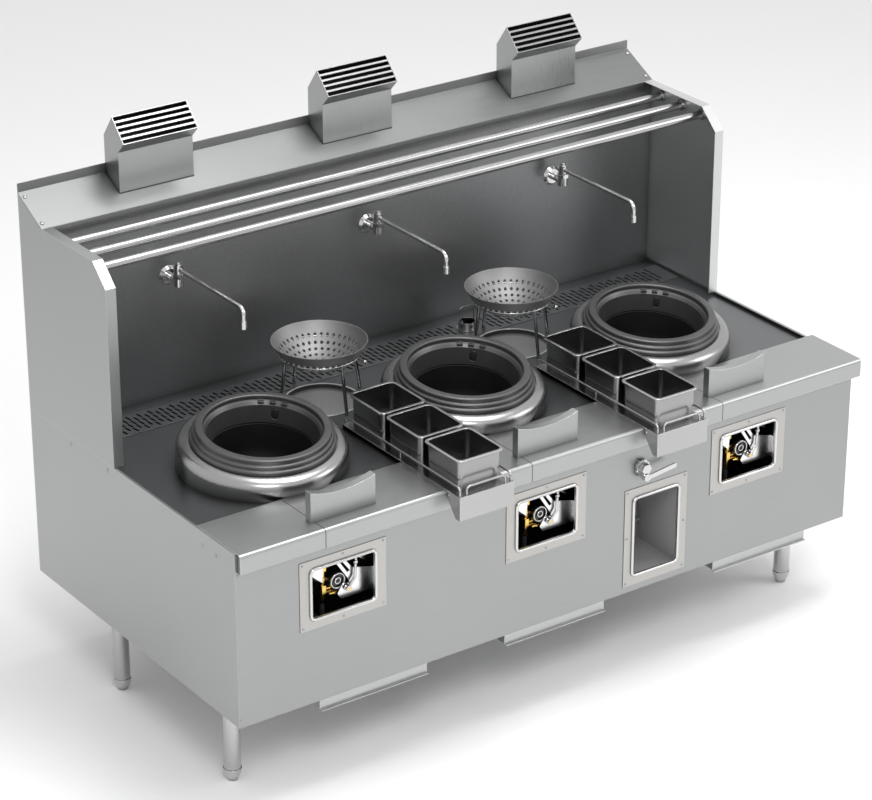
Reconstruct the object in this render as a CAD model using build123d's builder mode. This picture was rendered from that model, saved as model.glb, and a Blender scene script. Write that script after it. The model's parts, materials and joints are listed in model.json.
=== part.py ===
"""A three-station gas wok range on four legs, in millimetres.

+X runs along the front from left to right, +Y from the front to the back, +Z up.
The floor is z = 0 and the origin is under the middle of the whole object.
"""
from build123d import *
from math import atan2, cos, degrees, hypot, pi, radians, sin, sqrt, tan
import os

os.makedirs("parts", exist_ok=True)

# ---------------------------------------------------------------- driving sizes
# Cabinet
cabinet_width = 2134.0
cabinet_depth = 1092.0
cabinet_bottom = 270.0
work_height = 790.0
sheet = 2.0
hem_width = 8.0
seat_gap = 0.3
contact = 0.02

# Front ledge
ledge_depth = 200.0
ledge_overhang = 16.0
ledge_face = 55.0
ledge_overrun = 20.0
nose_radius = 10.0
deck_drop = 10.0

# Wok stations
station_left = 357.0
station_pitch = 678.0
station_count = 3
ring_back = 418.0
ring_height = 900.0
ring_tilt = 6.0
ring_bore = 165.0
ring_crest = 188.0
ring_step = 14.0
ring_seat_drop = 44.0
ring_wall = 10.0
ring_skirt_bore = 150.0
ring_skirt_drop = 78.0
ring_lip_inner = 5.0
ring_lip_outer = 6.0
ring_lip_foot = 14.0
ring_fillet = 7.0
ring_shelf = 27.0
throat_step = 4.0
throat_top = 18.0
throat_bottom = 26.0
throat_taper = 6.0
lug_width = 14.0
lug_length = 16.0
lug_height = 8.0
lug_drop = 22.0
collar_radius = 238.0
collar_shoulder_drop = 62.0
collar_gap_width = 3.0
pot_radius = 200.0
pot_bore = 146.0
pot_floor_bore = 70.0
pot_depth = 250.0

# Splash back, its sides and the cap
splash_back = 962.0
splash_front = 619.0
splash_shoulder = 1317.0
splash_chamfer_run = 65.0
splash_top = 1379.0
splash_flange = 30.0
cap_rise = 67.0
cap_upstand = 26.0
cap_lip = 13.0

# Flue risers
riser_left = 277.0
riser_width = 240.0
riser_pitch = 677.0
riser_front = 1013.0
riser_front_height = 120.0
hood_reach = 32.0
hood_rise = 33.0
hood_face_run = 60.0
hood_face_rise = 64.0
riser_back_height = 112.0
slat_count = 4
slat_face = 6.0
slat_depth = 14.0

# Pipe shelf
shelf_height = 1342.0
shelf_first = 712.0
shelf_pitch = 99.5
shelf_tube_radius = 12.7
shelf_count = 3

# Faucets
faucet_offset = 35.0
faucet_height = 1149.0
faucet_reach = 57.0
spout_rise = 38.0
spout_length = 343.0
spout_drop = 60.0
spout_radius = 6.5
spout_bend = 20.0
spout_hub = 13.0
spout_hub_height = 28.0
spout_cap = 8.0
nozzle_length = 22.0
nozzle_radius = 9.0
flange_radius = 30.0
flange_thickness = 9.0
faucet_body_radius = 15.0
faucet_body_height = 37.0
faucet_hex = 18.0
flange_taper = 40
pin_radius = 6.0
pin_length = 20.0
pin_clearance = 0.05

# Trough and its cover
trough_front = 796.0
trough_width = 108.0
trough_depth = 48.0
cover_lap = 5.0
slot_length = 28.0
slot_width = 7.0
slot_pitch = 36.0
slot_rows = 6
slot_row_pitch = 15.0
slot_slant = 8.0
basket_left = 1352.0
basket_radius = 26.0
basket_height = 24.0
basket_below = 40.0
basket_wall = 1.5
basket_flange = 33.0
basket_bail = 74.0
basket_hole = 3.5
hole_step = 30
hole_drop = 12.0
bail_wire = 2.0
bail_bend = 8.0

# Ladle wells with the strainers over them
well_offset = 362.0
well_back = 678.0
well_radius = 109.0
well_rim = 112.0
well_depth = 150.0
stand_back = 690.0
stand_foot_radius = 138.0
stand_ring_radius = 117.0
stand_wire = 3.0
stand_leg = 5.0
stand_knee = 10.0
bowl_rim_height = 965.0
bowl_rim_radius = 139.0
bowl_depth = 90.0
bowl_wall = 1.5
bowl_hole = 4.4
handle_angle = -60.0
handle_reach = 26.0
handle_rod = 2.5
handle_ball = 6.5
hole_rings = ((115.0, 40), (98.0, 34), (81.0, 28), (63.0, 22), (44.0, 16), (25.0, 9))

# Condiment racks
rack_offset = 395.0
rack_width = 180.0
rack_overhang = 76.0
rack_length = 566.0
apron_height = 70.0
rail_height = 27.0
rail_wire = 3.0
rail_post = 212.0
rail_bend = 12.0
rail_inset = 6.0
cheek_screw = 9.0
rail_clip = 276.0
rack_clip = 73.0
rack_clip_back = 284.0
cheek_depth = 59.0
pan_count = 3
pan_width = 156.0
pan_length = 171.0
pan_pitch = 183.0
pan_first = 32.0
pan_height = 93.0
pan_rim = 6.5
pan_lip = 5.0
pan_corner = 14.0
pan_wall = 1.5
pan_taper = 2.0

# Wok rests on the ledge
rest_width = 206.0
rest_height = 88.0
rest_sag = 17.0
rest_depth = 25.0
rest_front = 35.0
rest_shift = 5.0

# Windows in the front panel
window_places = (334.0, 1011.0, 1741.0)
window_height = 600.0
window_width = 200.0
window_opening = 143.0
bezel_border_x = 38.0
bezel_border_z = 32.0
bezel_rim = 8.0
bezel_raise = 4.0
tall_window_left = 1403.0
tall_window_height = 445.0
tall_window_width = 158.0
tall_window_opening = 240.0
tall_border = 34.0
niche_depth = 190.0
niche_wall = 2.0
niche_shelf = 385.0
niche_step = 40.0
shelf_lip = 8.0

# Gas controls
valve_setback = 60.0
lever_setback = 24.0
lever_hub_x = 32.0
lever_hub_z = -31.0
lever_rod = 4.0
lever_ball = 7.2
lever_bend = 10.0
lever_points = ((22.0, 27.0), (25.0, 73.0), (27.0, 98.0))
lever_boss = 6.0
hub_radius = 9.0
stem_radius = 5.0
stem_head = 6.5
plate_setback = 33.0
valve_shift = -28.0
valve_body = 8.0
disc_x = 10.0
disc_z = -9.0
disc_radius = 24.0
disc_depth = 12.0
manifold_height = 470.0
manifold_radius = 16.0
inlet_radius = 21.1
inlet_neck = 19.1
inlet_wall = 4.0
inlet_drop = 60.0
inlet_clear = 8.0

# Front water valve
tap_left = 1344.0
tap_height = 664.0
tap_reach = 30.0
tap_lever = 104.0
tap_lever_width = 14.0
tap_lever_thickness = 4.0
tap_lever_rise = 6.0
tap_hub_drop = 24.0
tap_hub = 11.0
tap_nut_radius = 24.0
tap_nut = 12.0
water_pipe_radius = 10.7
water_inlet_radius = 13.35
water_pipe_back = 70.0
branch_height = 603.0
branch_shift = 70.0
drain_radius = 24.0
drain_pipe_radius = 22.0
drain_bore = 20.0
drain_flange_radius = 34.0
drain_flange = 4.0

# Drip trays
tray_places = (430.0, 1048.0, 1803.0)
tray_width = 344.0
tray_lip_extra = 4.0
tray_length = 600.0
tray_height = 24.0
tray_lip = 28.0
tray_hook = 10.0
runner_flange = 14.0

# Legs and feet
leg_side_inset = 79.0
leg_front = 175.0
leg_back_inset = 318.0
leg_radius = 24.15
leg_wall = 2.6
foot_height = 38.0
foot_tip = 15.0
foot_stem = 45.0
foot_cone = 30.0
foot_collar = 26.0
foot_turn = 24.0
leg_plate = 90.0
leg_plate_thickness = 6.0

# Screws
screw_radius = 3.5
screw_head = 2.0
panel_screw_radius = 6.0
cap_screw_head = 3.5
bezel_screw_inset = 9.0

# ---------------------------------------------------------------- worked out
left_x = -(cabinet_width + ledge_overrun) / 2
right_x = left_x + cabinet_width
front_y = -(cabinet_depth - rack_overhang) / 2
back_y = front_y + cabinet_depth
deck_height = work_height - deck_drop
station_x = [left_x + station_left + i * station_pitch for i in range(station_count)]
stub_bottom = cabinet_bottom - inlet_drop
stub_top = cabinet_bottom - inlet_clear


def along(distance):
    """Distance from the cabinet's left side, as an X coordinate."""
    return left_x + distance


def inward(distance):
    """Distance from the front panel's face, as a Y coordinate."""
    return front_y + distance


def slab(x0, x1, y0, y1, z0, z1, mode=Mode.ADD):
    """An upright block between two corners, in the current part."""
    with Locations(((x0 + x1) / 2, (y0 + y1) / 2, (z0 + z1) / 2)):
        Box(x1 - x0, y1 - y0, z1 - z0, mode=mode)


def rod_z(x, y, z0, z1, radius, mode=Mode.ADD):
    """An upright cylinder between two heights, in the current part."""
    with Locations((x, y, (z0 + z1) / 2)):
        Cylinder(radius, z1 - z0, mode=mode)


def rod_y(x, z, y0, y1, radius, mode=Mode.ADD):
    """A cylinder that runs front to back, in the current part."""
    with Locations(Location((x, (y0 + y1) / 2, z), (90, 0, 0))):
        Cylinder(radius, y1 - y0, mode=mode)


def rod_x(y, z, x0, x1, radius, mode=Mode.ADD):
    """A cylinder that runs left to right, in the current part."""
    with Locations(Location(((x0 + x1) / 2, y, z), (0, 90, 0))):
        Cylinder(radius, x1 - x0, mode=mode)


def wire(points, radius, bend):
    """A round wire through the points, with its corners bent, in the current part."""
    with BuildLine(mode=Mode.PRIVATE) as path:
        FilletPolyline(*points, radius=bend)
    with BuildSketch(Plane(origin=path.line @ 0, z_dir=path.line % 0), mode=Mode.PRIVATE) as section:
        Circle(radius)
    sweep(section.sketch, path=path.line)


def sheet_profile(points):
    """A closed outline in the current sketch."""
    Polygon(*points, align=None)


# ---------------------------------------------------------------- side panels
with BuildPart() as side_panel_left:
    slab(left_x, left_x + sheet, inward(sheet), back_y - sheet, cabinet_bottom, work_height)
    slab(left_x + sheet, left_x + hem_width, inward(sheet), inward(splash_front),
         work_height - sheet, work_height)
side_panel_left.part.label = "side_panel_left"
export_step(side_panel_left.part, "parts/side_panel_left.step")

with BuildPart() as side_panel_right:
    slab(right_x - sheet, right_x, inward(sheet), back_y - sheet, cabinet_bottom, work_height)
    slab(right_x - hem_width, right_x - sheet, inward(ledge_depth), inward(splash_front),
         work_height - sheet, work_height)
    slab(right_x - sheet, right_x, inward(sheet), inward(ledge_depth), work_height - sheet,
         work_height, mode=Mode.SUBTRACT)
    slab(right_x - sheet, right_x, inward(ledge_depth - sheet), inward(ledge_depth), deck_height,
         work_height, mode=Mode.SUBTRACT)
side_panel_right.part.label = "side_panel_right"
export_step(side_panel_right.part, "parts/side_panel_right.step")

# ---------------------------------------------------------------- front panel
window_corner = 10.0
bottom_return = 25.0

with BuildPart() as front_panel:
    slab(left_x, right_x, front_y, inward(sheet), cabinet_bottom, work_height - 2 * sheet)
    slab(left_x + sheet, right_x - sheet, inward(sheet), inward(bottom_return),
         cabinet_bottom, cabinet_bottom + sheet)
    with BuildSketch(Plane.XZ.offset(-inward(sheet))):
        with Locations(*[(along(place), window_height) for place in window_places]):
            RectangleRounded(window_width, window_opening, window_corner)
        with Locations((along(tall_window_left), tall_window_height)):
            RectangleRounded(tall_window_width, tall_window_opening, window_corner)
        with Locations((along(tap_left), tap_height)):
            Circle(water_pipe_radius + seat_gap)
    extrude(amount=sheet, mode=Mode.SUBTRACT)
front_panel.part.label = "front_panel"
export_step(front_panel.part, "parts/front_panel.step")

# ---------------------------------------------------------------- back panel
cap_slope = cap_rise / (cabinet_depth - splash_back)

with BuildPart() as back_panel:
    slab(left_x, right_x, back_y - sheet, back_y, cabinet_bottom,
         splash_top + cap_rise - (2 + cap_slope) * sheet)
back_panel.part.label = "back_panel"
export_step(back_panel.part, "parts/back_panel.step")

# ---------------------------------------------------------------- base plate
# The floor of the cabinet, open under each burner so that drips reach the trays.
drip_opening = 250.0
drip_opening_front = 240.0
runner_bottom = cabinet_bottom - seat_gap - tray_height - seat_gap - sheet
inlet_left = cabinet_width - 150.0
inlet_back = cabinet_depth - 60.0
water_inlet_left = 190.0
pipe_y = inward((splash_back + cabinet_depth) / 2)
basket_x = along(basket_left)
basket_y = inward(trough_front + trough_width / 2)

with BuildPart() as base_plate:
    slab(left_x + sheet, right_x - sheet, inward(bottom_return), back_y - sheet,
         cabinet_bottom, cabinet_bottom + sheet)
    for place in tray_places:
        slab(along(place) - drip_opening / 2, along(place) + drip_opening / 2,
             inward(drip_opening_front), inward(drip_opening_front) + drip_opening,
             cabinet_bottom, cabinet_bottom + sheet, mode=Mode.SUBTRACT)
    rod_z(along(inlet_left), inward(inlet_back), cabinet_bottom, cabinet_bottom + sheet,
          inlet_neck + seat_gap, mode=Mode.SUBTRACT)
    rod_z(along(water_inlet_left), pipe_y, cabinet_bottom, cabinet_bottom + sheet,
          water_pipe_radius + seat_gap, mode=Mode.SUBTRACT)
    rod_z(basket_x, basket_y, cabinet_bottom, cabinet_bottom + sheet,
          drain_pipe_radius + seat_gap, mode=Mode.SUBTRACT)
base_plate.part.label = "base_plate"
export_step(base_plate.part, "parts/base_plate.step")

# ---------------------------------------------------------------- drip tray runners
# A Z-shaped rail each side of every tray: foot up under the base plate, flange below the tray.
with BuildPart() as tray_runners:
    for place in tray_places:
        for side in (-1, 1):
            web = along(place) + side * (tray_width / 2 + seat_gap + sheet / 2)
            inner = along(place) + side * (tray_width / 2 - runner_flange)
            outer = along(place) + side * (tray_width / 2 + seat_gap + sheet + runner_flange)
            slab(web - sheet / 2, web + sheet / 2, inward(sheet + seat_gap),
                 inward(sheet + tray_length), runner_bottom, cabinet_bottom)
            slab(min(web, inner), max(web, inner), inward(sheet + seat_gap),
                 inward(sheet + tray_length), runner_bottom, runner_bottom + sheet)
            slab(min(web, outer), max(web, outer), inward(sheet + seat_gap),
                 inward(sheet + tray_length), cabinet_bottom - sheet, cabinet_bottom)
tray_runners.part.label = "tray_runners"
export_step(tray_runners.part, "parts/tray_runners.step")

# ---------------------------------------------------------------- sunken deck
tilt = radians(ring_tilt)
ring_rise = ring_height - deck_height
deck_hole_back = ring_back + ring_rise * tan(tilt)
deck_hole_radius = pot_radius / cos(tilt) + 8.0
deck_front = ledge_depth - 15.0
cover_front = trough_front - cover_lap
cover_back = trough_front + trough_width + cover_lap
trough_end = 20.0

with BuildPart() as deck:
    slab(left_x + sheet, right_x - sheet, inward(deck_front), inward(splash_back + sheet),
         deck_height - sheet, deck_height)
    slab(left_x + sheet, right_x - sheet, inward(deck_front), inward(deck_front + sheet),
         deck_height - 25.0, deck_height - sheet)
    for x in station_x:
        rod_z(x, inward(deck_hole_back), deck_height - sheet, deck_height, deck_hole_radius,
              mode=Mode.SUBTRACT)
    for x in station_x[:-1]:
        rod_z(x + well_offset, inward(well_back), deck_height - sheet, deck_height,
              well_radius + seat_gap, mode=Mode.SUBTRACT)
    slab(left_x + trough_end, right_x - trough_end, inward(trough_front),
         inward(trough_front + trough_width), deck_height - sheet, deck_height, mode=Mode.SUBTRACT)
deck.part.label = "deck"
export_step(deck.part, "parts/deck.step")

# ---------------------------------------------------------------- front ledge
# Raised in front of the deck, with a rolled nose, a face and a short return at the bottom.
ledge_left = left_x + hem_width
ledge_right = right_x + ledge_overrun
nose_y = inward(-ledge_overhang)
ledge_rear = inward(ledge_depth)
ledge_bottom = work_height - ledge_face

with BuildPart() as front_ledge:
    with BuildSketch(Plane.YZ.offset(ledge_left)):
        with BuildLine():
            Line((ledge_rear, deck_height), (ledge_rear, work_height))
            Line((ledge_rear, work_height), (nose_y + nose_radius, work_height))
            RadiusArc((nose_y + nose_radius, work_height), (nose_y, work_height - nose_radius),
                      -nose_radius)
            Line((nose_y, work_height - nose_radius), (nose_y, ledge_bottom))
            Line((nose_y, ledge_bottom), (front_y, ledge_bottom))
            Line((front_y, ledge_bottom), (front_y, ledge_bottom + sheet))
            Line((front_y, ledge_bottom + sheet), (nose_y + sheet, ledge_bottom + sheet))
            Line((nose_y + sheet, ledge_bottom + sheet), (nose_y + sheet, work_height - nose_radius))
            RadiusArc((nose_y + sheet, work_height - nose_radius),
                      (nose_y + nose_radius, work_height - sheet), nose_radius - sheet)
            Line((nose_y + nose_radius, work_height - sheet), (ledge_rear - sheet, work_height - sheet))
            Line((ledge_rear - sheet, work_height - sheet), (ledge_rear - sheet, deck_height))
            Line((ledge_rear - sheet, deck_height), (ledge_rear, deck_height))
        make_face()
    extrude(amount=ledge_right - ledge_left)
    for cap_left, cap_rear in ((ledge_left, front_y), (ledge_right - sheet, ledge_rear)):
        with BuildSketch(Plane.YZ.offset(cap_left)):
            with BuildLine():
                Line((cap_rear, ledge_bottom), (cap_rear, work_height))
                Line((cap_rear, work_height), (nose_y + nose_radius, work_height))
                RadiusArc((nose_y + nose_radius, work_height), (nose_y, work_height - nose_radius),
                          -nose_radius)
                Line((nose_y, work_height - nose_radius), (nose_y, ledge_bottom))
                Line((nose_y, ledge_bottom), (cap_rear, ledge_bottom))
            make_face()
        extrude(amount=sheet)
front_ledge.part.label = "front_ledge"
export_step(front_ledge.part, "parts/front_ledge.step")

# ---------------------------------------------------------------- rear trough
trough_top = deck_height - sheet
trough_bottom = trough_top - trough_depth

with BuildPart() as rear_trough:
    slab(left_x + trough_end - sheet, right_x - trough_end + sheet, inward(trough_front - sheet),
         inward(trough_front + trough_width + sheet), trough_bottom, trough_top)
    slab(left_x + trough_end, right_x - trough_end, inward(trough_front),
         inward(trough_front + trough_width), trough_bottom + sheet, trough_top, mode=Mode.SUBTRACT)
    rod_z(basket_x, basket_y, trough_bottom, trough_bottom + sheet, drain_bore, mode=Mode.SUBTRACT)
rear_trough.part.label = "rear_trough"
export_step(rear_trough.part, "parts/rear_trough.step")

# ---------------------------------------------------------------- perforated trough cover
basket_clear = basket_radius + 8.0
cover_end = 6.0
slots_across = int((cabinet_width - 2 * trough_end - slot_width) / slot_pitch)


def slot_places():
    """Centres of the slanted slots: every second row is shifted by half a pitch."""
    places = []
    for row in range(slot_rows):
        y = basket_y + (row - (slot_rows - 1) / 2) * slot_row_pitch
        shift = slot_pitch / 2 if row % 2 else 0.0
        for number in range(slots_across):
            x = left_x + trough_end + slot_pitch / 2 + shift + number * slot_pitch
            past_end = x + slot_pitch / 2 > right_x - trough_end
            near_basket = hypot(x - basket_x, y - basket_y) < basket_clear + slot_length / 2
            foot_beside = abs(y - inward(stand_back + stand_foot_radius)) < slot_length / 2 + stand_wire
            under_foot = foot_beside and any(abs(x - station - well_offset) < slot_width + stand_wire
                                             for station in station_x[:-1])
            if not past_end and not near_basket and not under_foot:
                places.append((x, y))
    return places


with BuildPart() as trough_cover:
    with BuildSketch(Plane.XY.offset(deck_height)):
        with Locations(((left_x + right_x) / 2, basket_y)):
            Rectangle(cabinet_width - 2 * sheet - 2 * cover_end, cover_back - cover_front)
        with Locations((basket_x, basket_y)):
            Circle(basket_radius + 2 * seat_gap, mode=Mode.SUBTRACT)
        with Locations(*slot_places()):
            SlotOverall(slot_length, slot_width, rotation=90 + slot_slant, mode=Mode.SUBTRACT)
    extrude(amount=sheet)
trough_cover.part.label = "trough_cover"
export_step(trough_cover.part, "parts/trough_cover.step")

# ---------------------------------------------------------------- backsplash
faucet_x = [x + faucet_offset for x in station_x]
shank_radius = 10.0

with BuildPart() as backsplash:
    slab(left_x + sheet, right_x - sheet, inward(splash_back), inward(splash_back + sheet),
         deck_height, splash_top - 2 * sheet)
    for x in faucet_x:
        rod_y(x, faucet_height, inward(splash_back), inward(splash_back + sheet),
              shank_radius + contact, mode=Mode.SUBTRACT)
backsplash.part.label = "backsplash"
export_step(backsplash.part, "parts/backsplash.step")

# ---------------------------------------------------------------- splash sides
chamfer_rise = splash_top - splash_shoulder


def side_outline():
    """Corner points of a splash side, from the front bottom round to the back bottom."""
    return [
        (inward(splash_front), work_height),
        (inward(splash_front), splash_shoulder),
        (inward(splash_front + splash_chamfer_run), splash_top),
        (inward(splash_back), splash_top),
        (inward(splash_back), splash_top - 2 * sheet),
        (back_y - sheet, splash_top - 2 * sheet + cap_slope * (cabinet_depth - splash_back - sheet)),
        (back_y - sheet, work_height),
    ]


def edge_outline():
    """The turned-in edge along the front, the chamfer and the level top of a splash side."""
    turn = sheet * tan(atan2(chamfer_rise, splash_chamfer_run) / 2)
    lean = sheet * tan((pi / 2 - atan2(chamfer_rise, splash_chamfer_run)) / 2)
    return [
        (inward(splash_front), work_height),
        (inward(splash_front), splash_shoulder),
        (inward(splash_front + splash_chamfer_run), splash_top),
        (inward(splash_back), splash_top),
        (inward(splash_back), splash_top - sheet),
        (inward(splash_front + splash_chamfer_run) + turn, splash_top - sheet),
        (inward(splash_front) + sheet, splash_shoulder - lean),
        (inward(splash_front) + sheet, work_height),
    ]


for name, plate_x, edge_x in (("splash_side_left", left_x, left_x + sheet),
                              ("splash_side_right", right_x - sheet, right_x - sheet - splash_flange)):
    with BuildPart() as splash_side:
        with BuildSketch(Plane.YZ.offset(plate_x)):
            sheet_profile(side_outline())
        extrude(amount=sheet)
        with BuildSketch(Plane.YZ.offset(edge_x)):
            sheet_profile(edge_outline())
        extrude(amount=splash_flange)
    splash_side.part.label = name
    export_step(splash_side.part, f"parts/{name}.step")

# ---------------------------------------------------------------- sloped cap
riser_x = [left_x + riser_left + i * riser_pitch for i in range(station_count)]
flue_margin = 12.0


def cap_level(distance):
    """Height of the cap's upper face at a distance from the front panel."""
    return splash_top + cap_slope * (distance - splash_back)


with BuildPart() as splash_cap:
    with BuildSketch(Plane.YZ.offset(left_x)):
        sheet_profile([
            (inward(splash_back - sheet), splash_top - cap_lip),
            (inward(splash_back - sheet), splash_top),
            (inward(splash_back), splash_top),
            (back_y - sheet, cap_level(cabinet_depth - sheet)),
            (back_y - sheet, cap_level(cabinet_depth) + cap_upstand),
            (back_y, cap_level(cabinet_depth) + cap_upstand),
            (back_y, cap_level(cabinet_depth) - 2 * sheet),
            (inward(splash_back), splash_top - 2 * sheet),
            (inward(splash_back), splash_top - cap_lip),
        ])
    extrude(amount=cabinet_width)
    for x in riser_x:
        slab(x + flue_margin, x + riser_width - flue_margin, inward(riser_front + flue_margin),
             back_y - sheet - flue_margin, splash_top - sheet, cap_level(cabinet_depth),
             mode=Mode.SUBTRACT)
    slab(left_x, left_x + splash_flange + sheet, inward(splash_back - sheet), inward(splash_back),
         splash_top - cap_lip, splash_top, mode=Mode.SUBTRACT)
    slab(right_x - splash_flange - sheet, right_x, inward(splash_back - sheet), inward(splash_back),
         splash_top - cap_lip, splash_top, mode=Mode.SUBTRACT)
splash_cap.part.label = "splash_cap"
export_step(splash_cap.part, "parts/splash_cap.step")

# ---------------------------------------------------------------- flue risers
# A box open at the bottom, whose hood leans forward and is closed by slats across its mouth.
riser_back = cabinet_depth - sheet
riser_front_top = cap_level(riser_front) + riser_front_height
hood_lip = (riser_front - hood_reach, riser_front_top + hood_rise)
hood_peak = (hood_lip[0] + hood_face_run, hood_lip[1] + hood_face_rise)
riser_back_top = cap_level(riser_back) + riser_back_height
hood_angle = degrees(atan2(hood_face_rise, hood_face_run))
mouth_length = hypot(hood_face_run, hood_face_rise)
slat_pitch = mouth_length / (slat_count + 1)


def riser_outline(inset):
    """Side outline of a riser. The inset draws the hollow, which is open below and at the mouth."""
    slope = cap_slope
    front = riser_front + inset
    back = riser_back - inset
    extra = 3 * inset
    run = hood_face_run / mouth_length
    rise = hood_face_rise / mouth_length
    lip = (hood_lip[0] + inset * 0.4 - extra * rise, hood_lip[1] + inset * 0.4 + extra * run)
    peak = (hood_peak[0] - inset * 0.4 - extra * rise, hood_peak[1] - inset * 0.4 + extra * run)
    return [
        (inward(front), cap_level(front) - 2 * inset),
        (inward(front), riser_front_top + inset * 0.4),
        (inward(hood_lip[0] + 1.4 * inset), hood_lip[1] + 0.5 * inset),
        (inward(lip[0]), lip[1]),
        (inward(peak[0]), peak[1]),
        (inward(hood_peak[0]), hood_peak[1] - 1.4 * inset),
        (inward(back), riser_back_top - 0.5 * inset),
        (inward(back), cap_level(riser_back) - slope * inset - 2 * inset),
    ]


with BuildPart() as flue_risers:
    for x in riser_x:
        with BuildSketch(Plane.YZ.offset(x)):
            sheet_profile([
                (inward(riser_front), cap_level(riser_front)),
                (inward(riser_front), riser_front_top),
                (inward(hood_lip[0]), hood_lip[1]),
                (inward(hood_peak[0]), hood_peak[1]),
                (inward(riser_back), riser_back_top),
                (inward(riser_back), cap_level(riser_back)),
            ])
        extrude(amount=riser_width)
        with BuildSketch(Plane.YZ.offset(x + sheet)):
            sheet_profile(riser_outline(sheet))
        extrude(amount=riser_width - 2 * sheet, mode=Mode.SUBTRACT)
        for slat in range(1, slat_count + 1):
            share = slat * slat_pitch / mouth_length
            middle = (inward(hood_lip[0] + share * hood_face_run), hood_lip[1] + share * hood_face_rise)
            slat_plane = Plane(origin=(x + sheet, *middle), x_dir=(0, cos(radians(hood_angle)),
                               sin(radians(hood_angle))), z_dir=(1, 0, 0))
            with BuildSketch(slat_plane):
                with Locations((0, -slat_depth / 2)):
                    Rectangle(slat_face, slat_depth)
            extrude(amount=riser_width - 2 * sheet)
flue_risers.part.label = "flue_risers"
export_step(flue_risers.part, "parts/flue_risers.step")

# ---------------------------------------------------------------- pipe shelf
ferrule_length = 8.0
ferrule_radius = shelf_tube_radius + 5.0
tube_wall = 1.5

with BuildPart() as shelf_tubes:
    for number in range(shelf_count):
        y = inward(shelf_first + number * shelf_pitch)
        rod_x(y, shelf_height, left_x + sheet, right_x - sheet, shelf_tube_radius)
        rod_x(y, shelf_height, left_x + sheet, left_x + sheet + ferrule_length, ferrule_radius)
        rod_x(y, shelf_height, right_x - sheet - ferrule_length, right_x - sheet, ferrule_radius)
        rod_x(y, shelf_height, left_x + sheet, right_x - sheet, shelf_tube_radius - tube_wall,
              mode=Mode.SUBTRACT)
shelf_tubes.part.label = "shelf_tubes"
export_step(shelf_tubes.part, "parts/shelf_tubes.step")

# ---------------------------------------------------------------- wok stations
# Each station leans toward the cook. Its own plane lies at the top of the cast ring.


def station_plane(x):
    """The tilted plane at the top of a station's cast ring."""
    return Plane(origin=(x, inward(ring_back), ring_height), x_dir=(1, 0, 0),
                 z_dir=(0, -sin(tilt), cos(tilt)))


def section_plane(x):
    """The upright plane through a station's tilted axis, for profiles that are turned."""
    return Plane(origin=(x, inward(ring_back), ring_height), x_dir=(1, 0, 0),
                 z_dir=(0, -cos(tilt), -sin(tilt)))


ring_outer = ring_crest + ring_step
seat_outer = ring_outer + collar_gap_width
collar_seat_drop = ring_seat_drop + seat_gap
collar_seat_bore = ring_skirt_bore + ring_wall + 14.0
pot_top_drop = collar_seat_drop + sheet
pot_pocket = ring_skirt_bore + ring_wall + 2.0
skirt_reach = 260.0

collar_lip = 4.0
shoulder = collar_shoulder_drop + 12.0
flat_wall = 1.5
rack_x = [x + rack_offset for x in station_x[:-1]]
flat_x = [x + rack_clip + 1.0 for x in rack_x]

# A collar beside a rack is flat on that side, clear of the rear pan. These are the flat walls.
with BuildPart() as collar_walls:
    for x in station_x[1:]:
        with BuildSketch(section_plane(x)):
            with BuildLine():
                Line((0, collar_lip - sheet - collar_seat_drop),
                     (seat_outer + sheet, collar_lip - sheet - collar_seat_drop))
                Spline((seat_outer + sheet, collar_lip - sheet - collar_seat_drop),
                       (collar_radius - flat_wall, -shoulder), tangents=((1, -0.1), (0, -1)))
                Line((collar_radius - flat_wall, -shoulder), (collar_radius - flat_wall, -skirt_reach))
                Line((collar_radius - flat_wall, -skirt_reach), (0, -skirt_reach))
                Line((0, -skirt_reach), (0, collar_lip - sheet - collar_seat_drop))
            make_face()
        revolve(axis=Axis((x, inward(ring_back), ring_height), (0, -sin(tilt), cos(tilt))))
    starts = [left_x] + [edge + flat_wall for edge in flat_x]
    for start, end in zip(starts, flat_x + [right_x]):
        slab(start, end, front_y, back_y, deck_height - 2 * skirt_reach, ring_height,
             mode=Mode.SUBTRACT)
    slab(left_x, right_x, front_y, back_y, deck_height - 2 * skirt_reach, deck_height,
         mode=Mode.SUBTRACT)

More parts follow.
